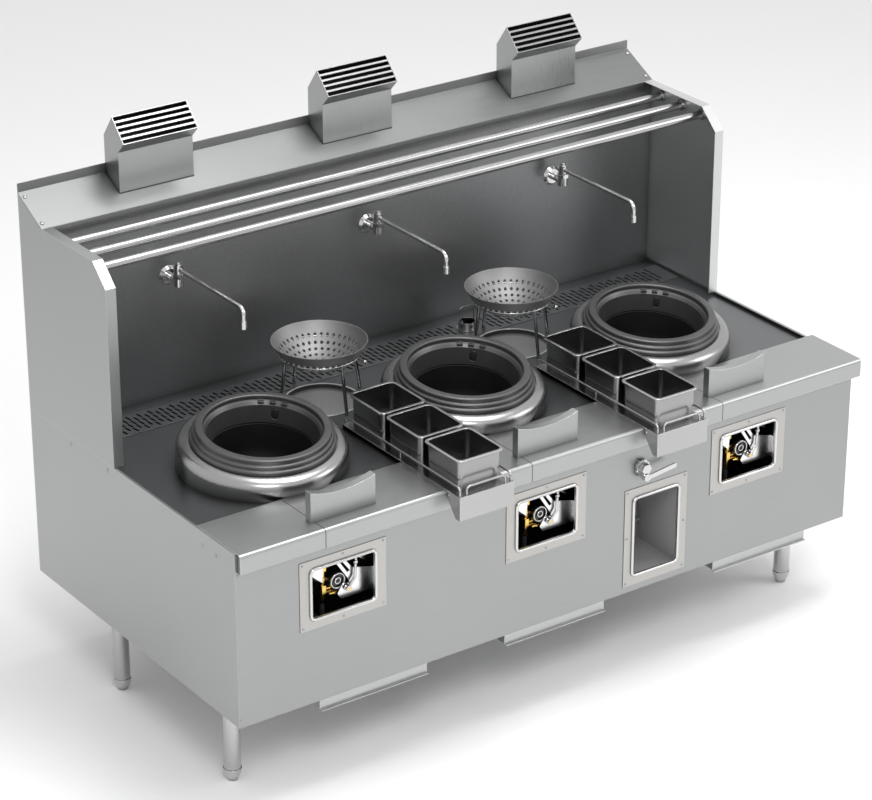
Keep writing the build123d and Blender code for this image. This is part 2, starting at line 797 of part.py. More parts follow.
with BuildPart() as wok_collars:
    for x in station_x:
        with BuildSketch(section_plane(x)):
            with BuildLine():
                Line((collar_seat_bore, -collar_seat_drop), (seat_outer, -collar_seat_drop))
                Line((seat_outer, -collar_seat_drop), (seat_outer, -collar_seat_drop + collar_lip))
                Line((seat_outer, -collar_seat_drop + collar_lip),
                     (seat_outer + sheet, -collar_seat_drop + collar_lip))
                Spline((seat_outer + sheet, -collar_seat_drop + collar_lip), (collar_radius, -shoulder),
                       tangents=((1, -0.1), (0, -1)))
                Line((collar_radius, -shoulder), (collar_radius, -skirt_reach))
                Line((collar_radius, -skirt_reach), (collar_radius - sheet, -skirt_reach))
                Line((collar_radius - sheet, -skirt_reach), (collar_radius - sheet, -shoulder))
                Spline((collar_radius - sheet, -shoulder),
                       (seat_outer + sheet, -collar_seat_drop + collar_lip - 1.1 * sheet),
                       tangents=((0, 1), (-1, 0.1)))
                Line((seat_outer + sheet, -collar_seat_drop + collar_lip - 1.1 * sheet),
                     (seat_outer + sheet, -collar_seat_drop - sheet))
                Line((seat_outer + sheet, -collar_seat_drop - sheet),
                     (collar_seat_bore, -collar_seat_drop - sheet))
                Line((collar_seat_bore, -collar_seat_drop - sheet), (collar_seat_bore, -collar_seat_drop))
            make_face()
        revolve(axis=Axis((x, inward(ring_back), ring_height), (0, -sin(tilt), cos(tilt))))
    for x, edge in zip(station_x[1:], flat_x):
        slab(x - 1.1 * collar_radius, edge, front_y, back_y, deck_height - 2 * skirt_reach, ring_height,
             mode=Mode.SUBTRACT)
    add(collar_walls.part)
    slab(left_x, right_x, front_y, back_y, deck_height - 2 * skirt_reach, deck_height,
         mode=Mode.SUBTRACT)
    slab(left_x, right_x, front_y, ledge_rear + contact, deck_height - sheet, work_height,
         mode=Mode.SUBTRACT)
wok_collars.part.label = "wok_collars"
export_step(wok_collars.part, "parts/wok_collars.step")

# ---------------------------------------------------------------- cast wok rings
lug_angles = (36, 48, 60)
port_angle = 45.0
port_drop = 50.0
port_height = 34.0
port_width = 20.0


def port_plane(top):
    """A plane on the station's axis that looks out along the ignition port."""
    turn = radians(port_angle)
    outward = top.x_dir * cos(turn) + top.y_dir * sin(turn)
    return Plane(origin=top.origin - top.z_dir * port_drop, x_dir=top.z_dir.cross(outward),
                 z_dir=outward)


for number, x in enumerate(station_x, start=1):
    top = station_plane(x)
    with BuildPart() as wok_ring:
        with BuildSketch(section_plane(x)):
            with BuildLine():
                Line((ring_bore, -ring_lip_foot), (ring_bore, -ring_lip_inner))
                Spline((ring_bore, -ring_lip_inner), ((ring_bore + ring_crest) / 2, 0.0),
                       (ring_crest, -ring_lip_outer), tangents=((0, 1), (0, -1)))
                Line((ring_crest, -ring_lip_outer), (ring_crest, -ring_lip_foot))
                RadiusArc((ring_crest, -ring_lip_foot),
                          (ring_crest + ring_fillet, -ring_lip_foot - ring_fillet), ring_fillet)
                Line((ring_crest + ring_fillet, -ring_lip_foot - ring_fillet),
                     (ring_crest + ring_fillet, -ring_shelf))
                RadiusArc((ring_crest + ring_fillet, -ring_shelf),
                          (ring_outer, -ring_shelf - ring_fillet), ring_fillet)
                Line((ring_outer, -ring_shelf - ring_fillet), (ring_outer, -ring_seat_drop))
                Line((ring_outer, -ring_seat_drop), (ring_skirt_bore + ring_wall, -ring_seat_drop))
                Line((ring_skirt_bore + ring_wall, -ring_seat_drop),
                     (ring_skirt_bore + ring_wall, -ring_skirt_drop))
                Line((ring_skirt_bore + ring_wall, -ring_skirt_drop), (ring_skirt_bore, -ring_skirt_drop))
                Line((ring_skirt_bore, -ring_skirt_drop), (ring_skirt_bore + throat_taper, -throat_bottom))
                Line((ring_skirt_bore + throat_taper, -throat_bottom),
                     (ring_bore - throat_step, -throat_top))
                Line((ring_bore - throat_step, -throat_top), (ring_bore, -ring_lip_foot))
            make_face()
        revolve(axis=Axis((x, inward(ring_back), ring_height), (0, -sin(tilt), cos(tilt))))
        with BuildSketch(top.offset(-lug_drop)):
            with PolarLocations(ring_bore - throat_step, len(lug_angles), start_angle=lug_angles[0],
                                angular_range=lug_angles[-1] - lug_angles[0], endpoint=True):
                Rectangle(lug_width, lug_length)
        extrude(amount=lug_height)
        with BuildSketch(port_plane(top)):
            SlotOverall(port_height, port_width, rotation=90)
        extrude(amount=ring_bore, mode=Mode.SUBTRACT)
    wok_ring.part.label = f"wok_ring_{number}"
    export_step(wok_ring.part, f"parts/wok_ring_{number}.step")

# ---------------------------------------------------------------- fire pots under the rings
pot_shoulder = 150.0

with BuildPart() as fire_pots:
    for x in station_x:
        with BuildSketch(section_plane(x)):
            with BuildLine():
                Line((pot_pocket, -pot_top_drop), (pot_radius, -pot_top_drop))
                Line((pot_radius, -pot_top_drop), (pot_radius, -pot_shoulder))
                Spline((pot_radius, -pot_shoulder), (pot_floor_bore + sheet, -pot_depth),
                       tangents=((0, -1), (-1, -0.3)))
                Line((pot_floor_bore + sheet, -pot_depth), (pot_floor_bore, -pot_depth))
                Line((pot_floor_bore, -pot_depth), (pot_floor_bore, -pot_depth + ring_wall))
                Spline((pot_floor_bore, -pot_depth + ring_wall), (pot_bore, -pot_shoulder),
                       tangents=((1, 0.3), (0, 1)))
                Line((pot_bore, -pot_shoulder), (pot_bore, -ring_skirt_drop - sheet))
                Line((pot_bore, -ring_skirt_drop - sheet), (pot_pocket, -ring_skirt_drop - sheet))
                Line((pot_pocket, -ring_skirt_drop - sheet), (pot_pocket, -pot_top_drop))
            make_face()
        revolve(axis=Axis((x, inward(ring_back), ring_height), (0, -sin(tilt), cos(tilt))))
fire_pots.part.label = "fire_pots"
export_step(fire_pots.part, "parts/fire_pots.step")

# ---------------------------------------------------------------- burners and gas pipes
# A jet burner stands in the floor of each pot. One pipe feeds them all from the rear inlet.
burner_radius = 58.0
burner_thickness = 18.0
jet_radius = 7.0
jet_height = 20.0
jet_count = 6
jet_circle = 40.0
burner_drop = pot_depth - 34.0
feed_radius = 13.5
valve_feed_radius = 8.0
manifold_y = inward(niche_depth + 40.0)


def on_axis(x, drop):
    """A point on a station's tilted axis, a drop below the top of its ring."""
    return (x, inward(ring_back) + drop * sin(tilt), ring_height - drop * cos(tilt))


with BuildPart() as gas_train:
    for x in station_x:
        head = station_plane(x).offset(-burner_drop)
        with BuildSketch(head):
            Circle(burner_radius)
        extrude(amount=-burner_thickness)
        with BuildSketch(head):
            Circle(jet_radius)
            with PolarLocations(jet_circle, jet_count):
                Circle(jet_radius)
        extrude(amount=jet_height)
        root = on_axis(x, burner_drop + burner_thickness / 2)
        rod_z(x, root[1], manifold_height, root[2], feed_radius - 1.5)
        rod_y(x, manifold_height, manifold_y, root[1] + feed_radius, feed_radius)
    rod_x(manifold_y, manifold_height, along(window_places[0]) - window_width / 2,
          along(inlet_left) + inlet_neck, manifold_radius)
    rod_y(along(inlet_left), manifold_height, manifold_y, inward(inlet_back), manifold_radius - 1.0)
    rod_z(along(inlet_left), inward(inlet_back), stub_bottom, stub_top, inlet_radius)
    rod_z(along(inlet_left), inward(inlet_back), stub_top, manifold_height + inlet_neck, inlet_neck)
    rod_z(along(inlet_left), inward(inlet_back), stub_bottom, cabinet_bottom,
          inlet_radius - inlet_wall, mode=Mode.SUBTRACT)
    for place in window_places:
        valve_x = along(place) + valve_shift
        rod_y(valve_x, manifold_height, inward(valve_setback), manifold_y, valve_feed_radius)
        rod_z(valve_x, inward(valve_setback) + 2.0, manifold_height,
              window_height - window_opening / 2, valve_feed_radius - 1.0)
gas_train.part.label = "gas_train"
export_step(gas_train.part, "parts/gas_train.step")

# ---------------------------------------------------------------- gas valves
# An upright brass body with a cone and nut below, a cross handle and the stem of the lever.
nut_top = -18.0
nut_height = 24.0
nut_extra = 4.0
cone_flare = -12
stem_low = 52.0
stem_high = 62.0
stem_step = 3.0
collar_low = 26.0
collar_height = 14.0
disc_arm_rise = 4.0
handle_drop = 12.0
handle_half = 15.0
handle_radius = 3.5
handle_stem = 4.0
handle_forward = 8.0

with BuildPart() as gas_valves:
    for place in window_places:
        x = along(place) + valve_shift
        y = inward(valve_setback)
        hub_x = along(place) + lever_hub_x
        hub_z = window_height + lever_hub_z
        cone_low = window_height + nut_top
        rod_z(x, y, window_height - window_opening / 2, cone_low - nut_height, valve_feed_radius)
        with BuildSketch(Plane.XY.offset(cone_low - nut_height)):
            with Locations((x, y)):
                RegularPolygon(valve_body + nut_extra, 6)
        extrude(amount=nut_height)
        with BuildSketch(Plane.XY.offset(cone_low)):
            with Locations((x, y)):
                Circle(valve_body)
        extrude(amount=nut_height, taper=cone_flare)
        rod_z(x, y, cone_low + nut_height, window_height + stem_low, valve_body)
        with BuildSketch(Plane.XY.offset(window_height + collar_low)):
            with Locations((x, y)):
                RegularPolygon(valve_body + nut_extra + 1.0, 6)
        extrude(amount=collar_height)
        rod_z(x, y, window_height + stem_low, window_height + stem_high, valve_body - stem_step)
        rod_x(y, window_height + disc_z + disc_arm_rise, x, along(place) + disc_x, valve_body - 2.0)
        rod_y(along(place) + disc_x, window_height + disc_z, y - valve_body, y + valve_body,
              valve_body + stem_step)
        rod_x(y, hub_z, x, hub_x, stem_head)
        rod_y(hub_x, hub_z, inward(lever_setback + lever_boss + seat_gap), y + stem_head, stem_head)
        rod_y(hub_x, hub_z, inward(lever_setback - lever_boss), y, stem_radius)
        rod_y(along(place), hub_z - handle_drop, inward(plate_setback + handle_forward),
              y + handle_stem, handle_stem)
        rod_x(inward(plate_setback + handle_drop), hub_z - handle_drop, along(place) - handle_half,
              along(place) + handle_half, handle_radius)
        rod_x(y, hub_z - handle_drop, x, along(place), stem_radius)
gas_valves.part.label = "gas_valves"
export_step(gas_valves.part, "parts/gas_valves.step")

# ---------------------------------------------------------------- pressure regulators
# A ringed drum in front of each valve and a small round cap at its left.
cap_x = -43.0
cap_z = 20.0
cap_radius = 18.0
cap_half = 10.0
dial_depth = 3.0
dial_rim = 4.0
nut_clearance = 5.5

with BuildPart() as gas_regulators:
    for place in window_places:
        x = along(place) + disc_x
        z = window_height + disc_z
        face = inward(valve_setback - valve_body - contact)
        dial = face - disc_depth + dial_depth
        rod_y(x, z, face - disc_depth, face, disc_radius)
        rod_y(x, z, face - disc_depth, dial, disc_radius - dial_rim, mode=Mode.SUBTRACT)
        rod_y(x, z, face - disc_depth, dial, valve_body)
        rod_x(inward(valve_setback), window_height + cap_z, along(place) + cap_x - cap_radius / 2,
              along(place) + valve_shift - valve_body - contact, cap_radius / 2)
        rod_y(along(place) + cap_x, window_height + cap_z, inward(valve_setback) - cap_half,
              inward(valve_setback) + cap_half, cap_radius)
        rod_z(along(place) + valve_shift, inward(valve_setback), window_height - window_opening / 2,
              window_height + window_opening / 2, valve_body + nut_clearance, mode=Mode.SUBTRACT)
        rod_x(inward(valve_setback), z + disc_arm_rise, along(place) + valve_shift, x, valve_body,
              mode=Mode.SUBTRACT)
gas_regulators.part.label = "gas_regulators"
export_step(gas_regulators.part, "parts/gas_regulators.step")

# ---------------------------------------------------------------- valve brackets
# Bright plates behind each window, bent back and fixed to the front panel beside the opening.
# Each outline is given from the window's centre, as X and Z.
ear = 22.0
ear_foot = 14.0
side = window_width / 2 + ear
main_plate = ((-24, 86), (4, 86), (52, 22), (side, 4), (side, -62), (14, -62), (4, -44), (22, -16),
              (44, -22), (36, -4))
main_slot = ((-8, 80), (-2, 80), (44, 16), (36, 12))
left_plate = ((-side, 86), (-34, 86), (-40, 44), (-44, 4), (-side, 72))
right_plate = ((66, 92), (92, 92), (92, 34), (66, 52))
stem_clearance = 2.0


def outline_at(x, z, points):
    """An outline's points moved to a window's centre."""
    return [(x + point_x, z + point_z) for point_x, point_z in points]


def plate_tab(x0, x1, z0, z1, reach, foot):
    """A tab from a plate forward to the front panel, with a foot turned out on the panel."""
    slab(x0, x1, inward(2 * sheet), inward(reach), z0, z1)
    slab(*foot[:2], inward(sheet), inward(2 * sheet), *foot[2:])


with BuildPart() as valve_brackets:
    for place in window_places:
        x = along(place)
        z = window_height
        with BuildSketch(Plane.XZ.offset(-inward(plate_setback + sheet))):
            sheet_profile(outline_at(x, z, main_plate))
            Polygon(*outline_at(x, z, main_slot), align=None, mode=Mode.SUBTRACT)
            with Locations((x + lever_hub_x, z + lever_hub_z)):
                Circle(stem_head + stem_clearance, mode=Mode.SUBTRACT)
            sheet_profile(outline_at(x, z, left_plate))
        extrude(amount=sheet)
        with BuildSketch(Plane.XZ.offset(-inward(lever_setback + lever_boss + sheet))):
            sheet_profile(outline_at(x, z, right_plate))
        extrude(amount=-sheet)
        low, high = z + main_plate[4][1], z + main_plate[3][1]
        plate_tab(x + side - sheet, x + side, low, high, plate_setback,
                  (x + side - sheet, x + side + ear_foot, low, high))
        start, end, top = x + main_plate[0][0], x + main_plate[1][0], z + main_plate[0][1]
        plate_tab(start, end, top - sheet, top, plate_setback,
                  (start, end, top - sheet, top + ear_foot - sheet))
        low, high = z + left_plate[-1][1], z + left_plate[0][1]
        plate_tab(x - side, x - side + sheet, low, high, plate_setback,
                  (x - side - ear_foot, x - side + sheet, low, high))
        start, end, top = x + right_plate[0][0], x + right_plate[1][0], z + right_plate[0][1]
        plate_tab(start, end, top - sheet, top, lever_setback + lever_boss + sheet,
                  (start, end, top - sheet, top + ear_foot - sheet))
valve_brackets.part.label = "valve_brackets"
export_step(valve_brackets.part, "parts/valve_brackets.step")

# ---------------------------------------------------------------- gas levers
for number, place in enumerate(window_places, start=1):
    hub_x = along(place) + lever_hub_x
    hub_z = window_height + lever_hub_z
    y = inward(lever_setback)
    knee, ball, tip = [(hub_x + run, y, hub_z + rise) for run, rise in lever_points]
    with BuildPart() as gas_lever:
        wire([(hub_x + hub_radius / 3, y, hub_z + hub_radius / 2), knee, ball, tip], lever_rod, lever_bend)
        with Locations(ball):
            Sphere(lever_ball)
        with Locations(tip):
            Sphere(lever_rod)
        rod_y(hub_x, hub_z, y - lever_boss, y + lever_boss, hub_radius)
        rod_y(hub_x, hub_z, y - lever_boss, y + lever_boss, stem_radius + pin_clearance,
              mode=Mode.SUBTRACT)
    gas_lever.part.label = f"gas_lever_{number}"
    export_step(gas_lever.part, f"parts/gas_lever_{number}.step")

# ---------------------------------------------------------------- window bezels
with BuildPart() as window_bezels:
    with BuildSketch(Plane.XZ.offset(-front_y)):
        with Locations(*[(along(place), window_height) for place in window_places]):
            Rectangle(window_width + 2 * bezel_border_x, window_opening + 2 * bezel_border_z)
        with Locations((along(tall_window_left), tall_window_height)):
            Rectangle(tall_window_width + 2 * tall_border, tall_window_opening + 2 * tall_border)
        with Locations(*[(along(place), window_height) for place in window_places]):
            RectangleRounded(window_width, window_opening, window_corner, mode=Mode.SUBTRACT)
        with Locations((along(tall_window_left), tall_window_height)):
            RectangleRounded(tall_window_width, tall_window_opening, window_corner, mode=Mode.SUBTRACT)
    extrude(amount=sheet)
    with BuildSketch(Plane.XZ.offset(-front_y + sheet)):
        with Locations(*[(along(place), window_height) for place in window_places]):
            RectangleRounded(window_width + 2 * bezel_rim, window_opening + 2 * bezel_rim,
                             window_corner + bezel_rim)
        with Locations((along(tall_window_left), tall_window_height)):
            RectangleRounded(tall_window_width + 2 * bezel_rim, tall_window_opening + 2 * bezel_rim,
                             window_corner + bezel_rim)
        with Locations(*[(along(place), window_height) for place in window_places]):
            RectangleRounded(window_width, window_opening, window_corner, mode=Mode.SUBTRACT)
        with Locations((along(tall_window_left), tall_window_height)):
            RectangleRounded(tall_window_width, tall_window_opening, window_corner, mode=Mode.SUBTRACT)
    extrude(amount=bezel_raise)
    rim_faces = window_bezels.faces().filter_by(Axis.Y).group_by(Axis.Y)[0]
    fillet(rim_faces.edges(), radius=bezel_raise * 0.4)
window_bezels.part.label = "window_bezels"
export_step(window_bezels.part, "parts/window_bezels.step")

# ---------------------------------------------------------------- niche behind the tall window
niche_spare = 10.0
niche_left = along(tall_window_left) - tall_window_width / 2 - niche_spare
niche_right = along(tall_window_left) + tall_window_width / 2 + niche_spare
niche_low = tall_window_height - tall_window_opening / 2 - niche_spare
niche_high = tall_window_height + tall_window_opening / 2 + niche_spare
shelf_front = 85.0
shelf_cut = 0.45

with BuildPart() as niche:
    slab(niche_left, niche_right, inward(sheet), inward(niche_depth), niche_low, niche_high)
    slab(niche_left + niche_wall, niche_right - niche_wall, inward(sheet),
         inward(niche_depth - niche_wall), niche_low + niche_wall, niche_high - niche_wall,
         mode=Mode.SUBTRACT)
    slab(niche_left + niche_wall, niche_left + (niche_right - niche_left) * shelf_cut,
         inward(shelf_front), inward(niche_depth - niche_wall), niche_shelf, niche_shelf + niche_step)
    slab(niche_left + niche_wall, niche_right - niche_wall, inward(niche_depth - 2 * shelf_lip),
         inward(niche_depth - niche_wall), niche_shelf - shelf_lip, niche_shelf)
niche.part.label = "niche"
export_step(niche.part, "parts/niche.step")

# ---------------------------------------------------------------- faucet bodies and front tap
faucet_y = inward(splash_back - faucet_reach)
body_top = faucet_height + spout_rise - spout_hub_height / 2 - seat_gap
spout_z = faucet_height + spout_rise
tap_x = along(tap_left)
tap_face = inward(-tap_reach)
tap_pivot = tap_height - tap_hub_drop
tap_neck = tap_hub - 3.0
tap_notch = 3.0
tap_notches = 8
tap_hex = water_pipe_radius + 6.0

with BuildPart() as faucet_bodies:
    for x in faucet_x:
        with BuildSketch(Plane.XZ.offset(-inward(splash_back))):
            with Locations((x, faucet_height)):
                Circle(flange_radius)
        extrude(amount=flange_thickness, taper=flange_taper)
        rod_y(x, faucet_height, faucet_y, pipe_y - water_pipe_radius - contact, shank_radius)
        rod_z(x, faucet_y, body_top - faucet_body_height, body_top, faucet_body_radius)
        with BuildSketch(Plane.XY.offset(body_top - faucet_body_height / 3)):
            with Locations((x, faucet_y)):
                RegularPolygon(faucet_hex, 6)
        extrude(amount=faucet_body_height / 3)
        rod_z(x, faucet_y, body_top - pin_length, body_top, pin_radius + pin_clearance,
              mode=Mode.SUBTRACT)
    with BuildSketch(Plane.XZ.offset(-front_y)):
        with Locations((tap_x, tap_height)):
            Circle(tap_nut_radius)
            with PolarLocations(tap_nut_radius, tap_notches):
                Circle(tap_notch, mode=Mode.SUBTRACT)
    extrude(amount=tap_nut)
    rod_y(tap_x, tap_height, tap_face, inward(water_pipe_back) - water_pipe_radius - contact,
          water_pipe_radius)
    with BuildSketch(Plane.XZ.offset(-inward(-tap_nut))):
        with Locations((tap_x, tap_height)):
            RegularPolygon(tap_hex, 6)
    extrude(amount=tap_reach - tap_nut)
    rod_z(tap_x, inward(-(tap_reach + tap_nut) / 2), tap_pivot - tap_hub, tap_height, tap_neck)
    rod_y(tap_x, tap_pivot, tap_face, inward(-tap_nut), tap_hub)
    rod_y(tap_x, tap_pivot, tap_face - tap_lever_thickness - seat_gap, tap_face, pin_radius)
faucet_bodies.part.label = "faucet_bodies"
export_step(faucet_bodies.part, "parts/faucet_bodies.step")

# ---------------------------------------------------------------- swivel spouts
for number, x in enumerate(faucet_x, start=1):
    end_y = faucet_y - spout_length
    nozzle_top = spout_z - spout_drop + nozzle_length
    with BuildPart() as spout:
        wire([(x, faucet_y, spout_z), (x, end_y, spout_z), (x, end_y, nozzle_top)], spout_radius,
             spout_bend)
        rod_z(x, faucet_y, spout_z - spout_hub_height / 2, spout_z + spout_hub_height / 2, spout_hub)
        rod_z(x, faucet_y, spout_z + spout_hub_height / 2, spout_z + spout_hub_height / 2 + spout_radius,
              spout_cap)
        rod_z(x, faucet_y, body_top - pin_length + seat_gap, spout_z, pin_radius)
        rod_z(x, end_y, spout_z - spout_drop, nozzle_top, nozzle_radius)
        rod_z(x, end_y, spout_z - spout_drop, spout_z - spout_drop + nozzle_length / 2,
              spout_radius, mode=Mode.SUBTRACT)
    spout.part.label = f"spout_{number}"
    export_step(spout.part, f"parts/spout_{number}.step")

# ---------------------------------------------------------------- tap lever
with BuildPart() as tap_lever_arm:
    with BuildSketch(Plane.XZ.offset(-(tap_face - seat_gap))):
        with Locations((tap_x, tap_pivot)):
            Circle(tap_hub)
        Polygon((tap_x, tap_pivot - tap_lever_width / 2), (tap_x + tap_lever, tap_pivot + tap_lever_rise),
                (tap_x + tap_lever, tap_pivot + tap_lever_rise + tap_lever_width),
                (tap_x, tap_pivot + tap_lever_width / 2), align=None)
        with Locations((tap_x, tap_pivot)):
            Circle(pin_radius + pin_clearance, mode=Mode.SUBTRACT)
    extrude(amount=tap_lever_thickness)
    fillet(tap_lever_arm.edges().filter_by(Axis.Y).sort_by(Axis.X)[-2:], radius=tap_lever_width * 0.4)
tap_lever_arm.part.label = "tap_lever"
export_step(tap_lever_arm.part, "parts/tap_lever.step")

# ---------------------------------------------------------------- water pipes
# A header behind the backsplash feeds the faucets. A branch under the deck feeds the front tap.
# Short round fittings join the pipes, which end inside them just short of each other. A drain pipe
# with a flange under the trough runs down beside them.
tee_radius = 14.0
tee_length = 34.0
fitting_radius = 16.0
pipe_end = water_pipe_radius + seat_gap
header_spare = 5.0
inlet_x = along(water_inlet_left)
tap_pipe_y = inward(water_pipe_back)
branch_x = tap_x - branch_shift
pipe_corners = ((inlet_x, pipe_y, faucet_height), (inlet_x, pipe_y, branch_height),
                (branch_x, pipe_y, branch_height), (branch_x, tap_pipe_y, branch_height),
                (tap_x, tap_pipe_y, branch_height), (tap_x, tap_pipe_y, tap_height))

with BuildPart() as water_pipes:
    for corner in pipe_corners:
        with Locations(Location(corner, (0, 0, 45))):
            Cylinder(fitting_radius, 2 * fitting_radius)
    rod_x(pipe_y, faucet_height, inlet_x + pipe_end, faucet_x[-1] + tee_radius + header_spare,
          water_pipe_radius)
    for x in faucet_x:
        rod_y(x, faucet_height, pipe_y - tee_length, pipe_y, tee_radius)
        rod_y(x, faucet_height, pipe_y - tee_length, pipe_y - water_pipe_radius,
              shank_radius + contact, mode=Mode.SUBTRACT)
    rod_z(inlet_x, pipe_y, stub_bottom, stub_top, water_inlet_radius)
    rod_z(inlet_x, pipe_y, stub_top, faucet_height - pipe_end, water_pipe_radius)
    rod_z(inlet_x, pipe_y, stub_bottom, cabinet_bottom, water_pipe_radius - sheet,
          mode=Mode.SUBTRACT)
    rod_x(pipe_y, branch_height, inlet_x + pipe_end, branch_x - pipe_end, water_pipe_radius)
    rod_y(branch_x, branch_height, tap_pipe_y + pipe_end, pipe_y - pipe_end, water_pipe_radius)
    rod_x(tap_pipe_y, branch_height, branch_x + pipe_end, tap_x - pipe_end, water_pipe_radius)
    rod_z(tap_x, tap_pipe_y, branch_height + pipe_end, tap_height - pipe_end, water_pipe_radius)
    rod_y(tap_x, tap_height, tap_pipe_y - tee_length, tap_pipe_y, tee_radius)
    rod_y(tap_x, tap_height, tap_pipe_y - tee_length, tap_pipe_y - water_pipe_radius,
          water_pipe_radius + contact, mode=Mode.SUBTRACT)
    drain_top = trough_bottom - contact
    rod_z(basket_x, basket_y, drain_top - drain_flange, drain_top, drain_flange_radius)
    rod_z(basket_x, basket_y, stub_top, drain_top - drain_flange, drain_pipe_radius)
    rod_z(basket_x, basket_y, stub_bottom, stub_top, drain_radius)
    rod_z(basket_x, basket_y, stub_bottom, drain_top, drain_bore, mode=Mode.SUBTRACT)
water_pipes.part.label = "water_pipes"
export_step(water_pipes.part, "parts/water_pipes.step")

# ---------------------------------------------------------------- wok rests on the ledge
with BuildPart() as wok_rests:
    for x in station_x:
        middle = x + rest_shift
        half = rest_width / 2
        top = work_height + rest_height
        with BuildSketch(Plane.XZ.offset(-inward(rest_front + rest_depth))):
            with BuildLine():
                Line((middle - half, work_height), (middle + half, work_height))
                Line((middle + half, work_height), (middle + half, top))
                ThreePointArc((middle + half, top), (middle, top - rest_sag), (middle - half, top))
                Line((middle - half, top), (middle - half, work_height))
            make_face()
        extrude(amount=rest_depth)
        with BuildSketch(Plane.XZ.offset(-inward(rest_front + rest_depth))):
            with BuildLine():
                Line((middle - half + sheet, work_height), (middle + half - sheet, work_height))
                Line((middle + half - sheet, work_height), (middle + half - sheet, top - sheet))
                ThreePointArc((middle + half - sheet, top - sheet), (middle, top - rest_sag - sheet),
                              (middle - half + sheet, top - sheet))
                Line((middle - half + sheet, top - sheet), (middle - half + sheet, work_height))
            make_face()
        extrude(amount=rest_depth - sheet, mode=Mode.SUBTRACT)
wok_rests.part.label = "wok_rests"
export_step(wok_rests.part, "parts/wok_rests.step")

# ---------------------------------------------------------------- ladle wells
well_x = [x + well_offset for x in station_x[:-1]]

with BuildPart() as ladle_wells:
    for x in well_x:
        rod_z(x, inward(well_back), deck_height, deck_height + sheet, well_rim)
        rod_z(x, inward(well_back), deck_height - well_depth, deck_height, well_radius)
        rod_z(x, inward(well_back), deck_height - well_depth + sheet, deck_height + sheet,
              well_radius - sheet, mode=Mode.SUBTRACT)
ladle_wells.part.label = "ladle_wells"
export_step(ladle_wells.part, "parts/ladle_wells.step")

# ---------------------------------------------------------------- strainers and their stands
bowl_radius = (bowl_rim_radius ** 2 + bowl_depth ** 2) / (2 * bowl_depth)
bowl_centre = bowl_rim_height - bowl_depth + bowl_radius
stand_top = bowl_centre - sqrt((bowl_radius + stand_wire + seat_gap) ** 2 - stand_ring_radius ** 2)
stand_y = inward(stand_back)

for number, x in enumerate(well_x, start=1):
    with BuildPart() as strainer_stand:
        with Locations((x, stand_y, stand_top)):
            Torus(stand_ring_radius, stand_wire)
        for quarter in range(4):
            turn = radians(90.0 * quarter)
            on_cover = quarter == 1
            floor = deck_height + seat_gap + (sheet if on_cover else 0.0)
            foot = (x + stand_foot_radius * cos(turn), stand_y + stand_foot_radius * sin(turn),
                    floor - stand_leg)
            knee_radius = (stand_foot_radius + stand_ring_radius) / 2 - stand_wire
            knee = (x + knee_radius * cos(turn), stand_y + knee_radius * sin(turn),
                    (floor + stand_top) / 2 + stand_knee)
            head = (x + stand_ring_radius * cos(turn), stand_y + stand_ring_radius * sin(turn),
                    stand_top - stand_wire / 2)
            wire([foot, knee, head], stand_leg, 60.0)
            slab(foot[0] - 3 * stand_leg, foot[0] + 3 * stand_leg, foot[1] - 3 * stand_leg,
                 foot[1] + 3 * stand_leg, floor - 4 * stand_leg, floor, mode=Mode.SUBTRACT)
        turn = radians(handle_angle)
        grip_radius = stand_ring_radius + handle_reach
        root_radius = stand_ring_radius - 1.0
        root = (x + root_radius * cos(turn), stand_y + root_radius * sin(turn), stand_top - stand_wire)
        grip = (x + grip_radius * cos(turn), stand_y + grip_radius * sin(turn), stand_top - stand_wire)
        with BuildSketch(Plane(origin=root, z_dir=(cos(turn), sin(turn), 0))):
            Circle(handle_rod)
        extrude(amount=grip_radius - root_radius)
        with Locations(grip):
            Sphere(handle_ball)
    strainer_stand.part.label = f"strainer_stand_{number}"
    export_step(strainer_stand.part, f"parts/strainer_stand_{number}.step")

    with BuildPart() as strainer:
        with Locations((x, stand_y, bowl_centre)):
            Sphere(bowl_radius)
            Sphere(bowl_radius - bowl_wall, mode=Mode.SUBTRACT)
        slab(x - bowl_radius, x + bowl_radius, stand_y - bowl_radius, stand_y + bowl_radius,
             bowl_rim_height, bowl_centre + bowl_radius, mode=Mode.SUBTRACT)
        with BuildSketch(Plane((x, stand_y, bowl_centre - bowl_radius - bowl_wall))):
            Circle(bowl_hole)
            for ring_radius, ring_holes in hole_rings:
                with PolarLocations(ring_radius, ring_holes):
                    Circle(bowl_hole)
        extrude(amount=bowl_depth, mode=Mode.SUBTRACT)
    strainer.part.label = f"strainer_{number}"
    export_step(strainer.part, f"parts/strainer_{number}.step")

# ---------------------------------------------------------------- drain basket
basket_bottom = deck_height - basket_below
basket_top = deck_height + sheet + basket_height
hole_levels = (basket_bottom + hole_drop, basket_bottom + 2 * hole_drop, basket_top - hole_drop)

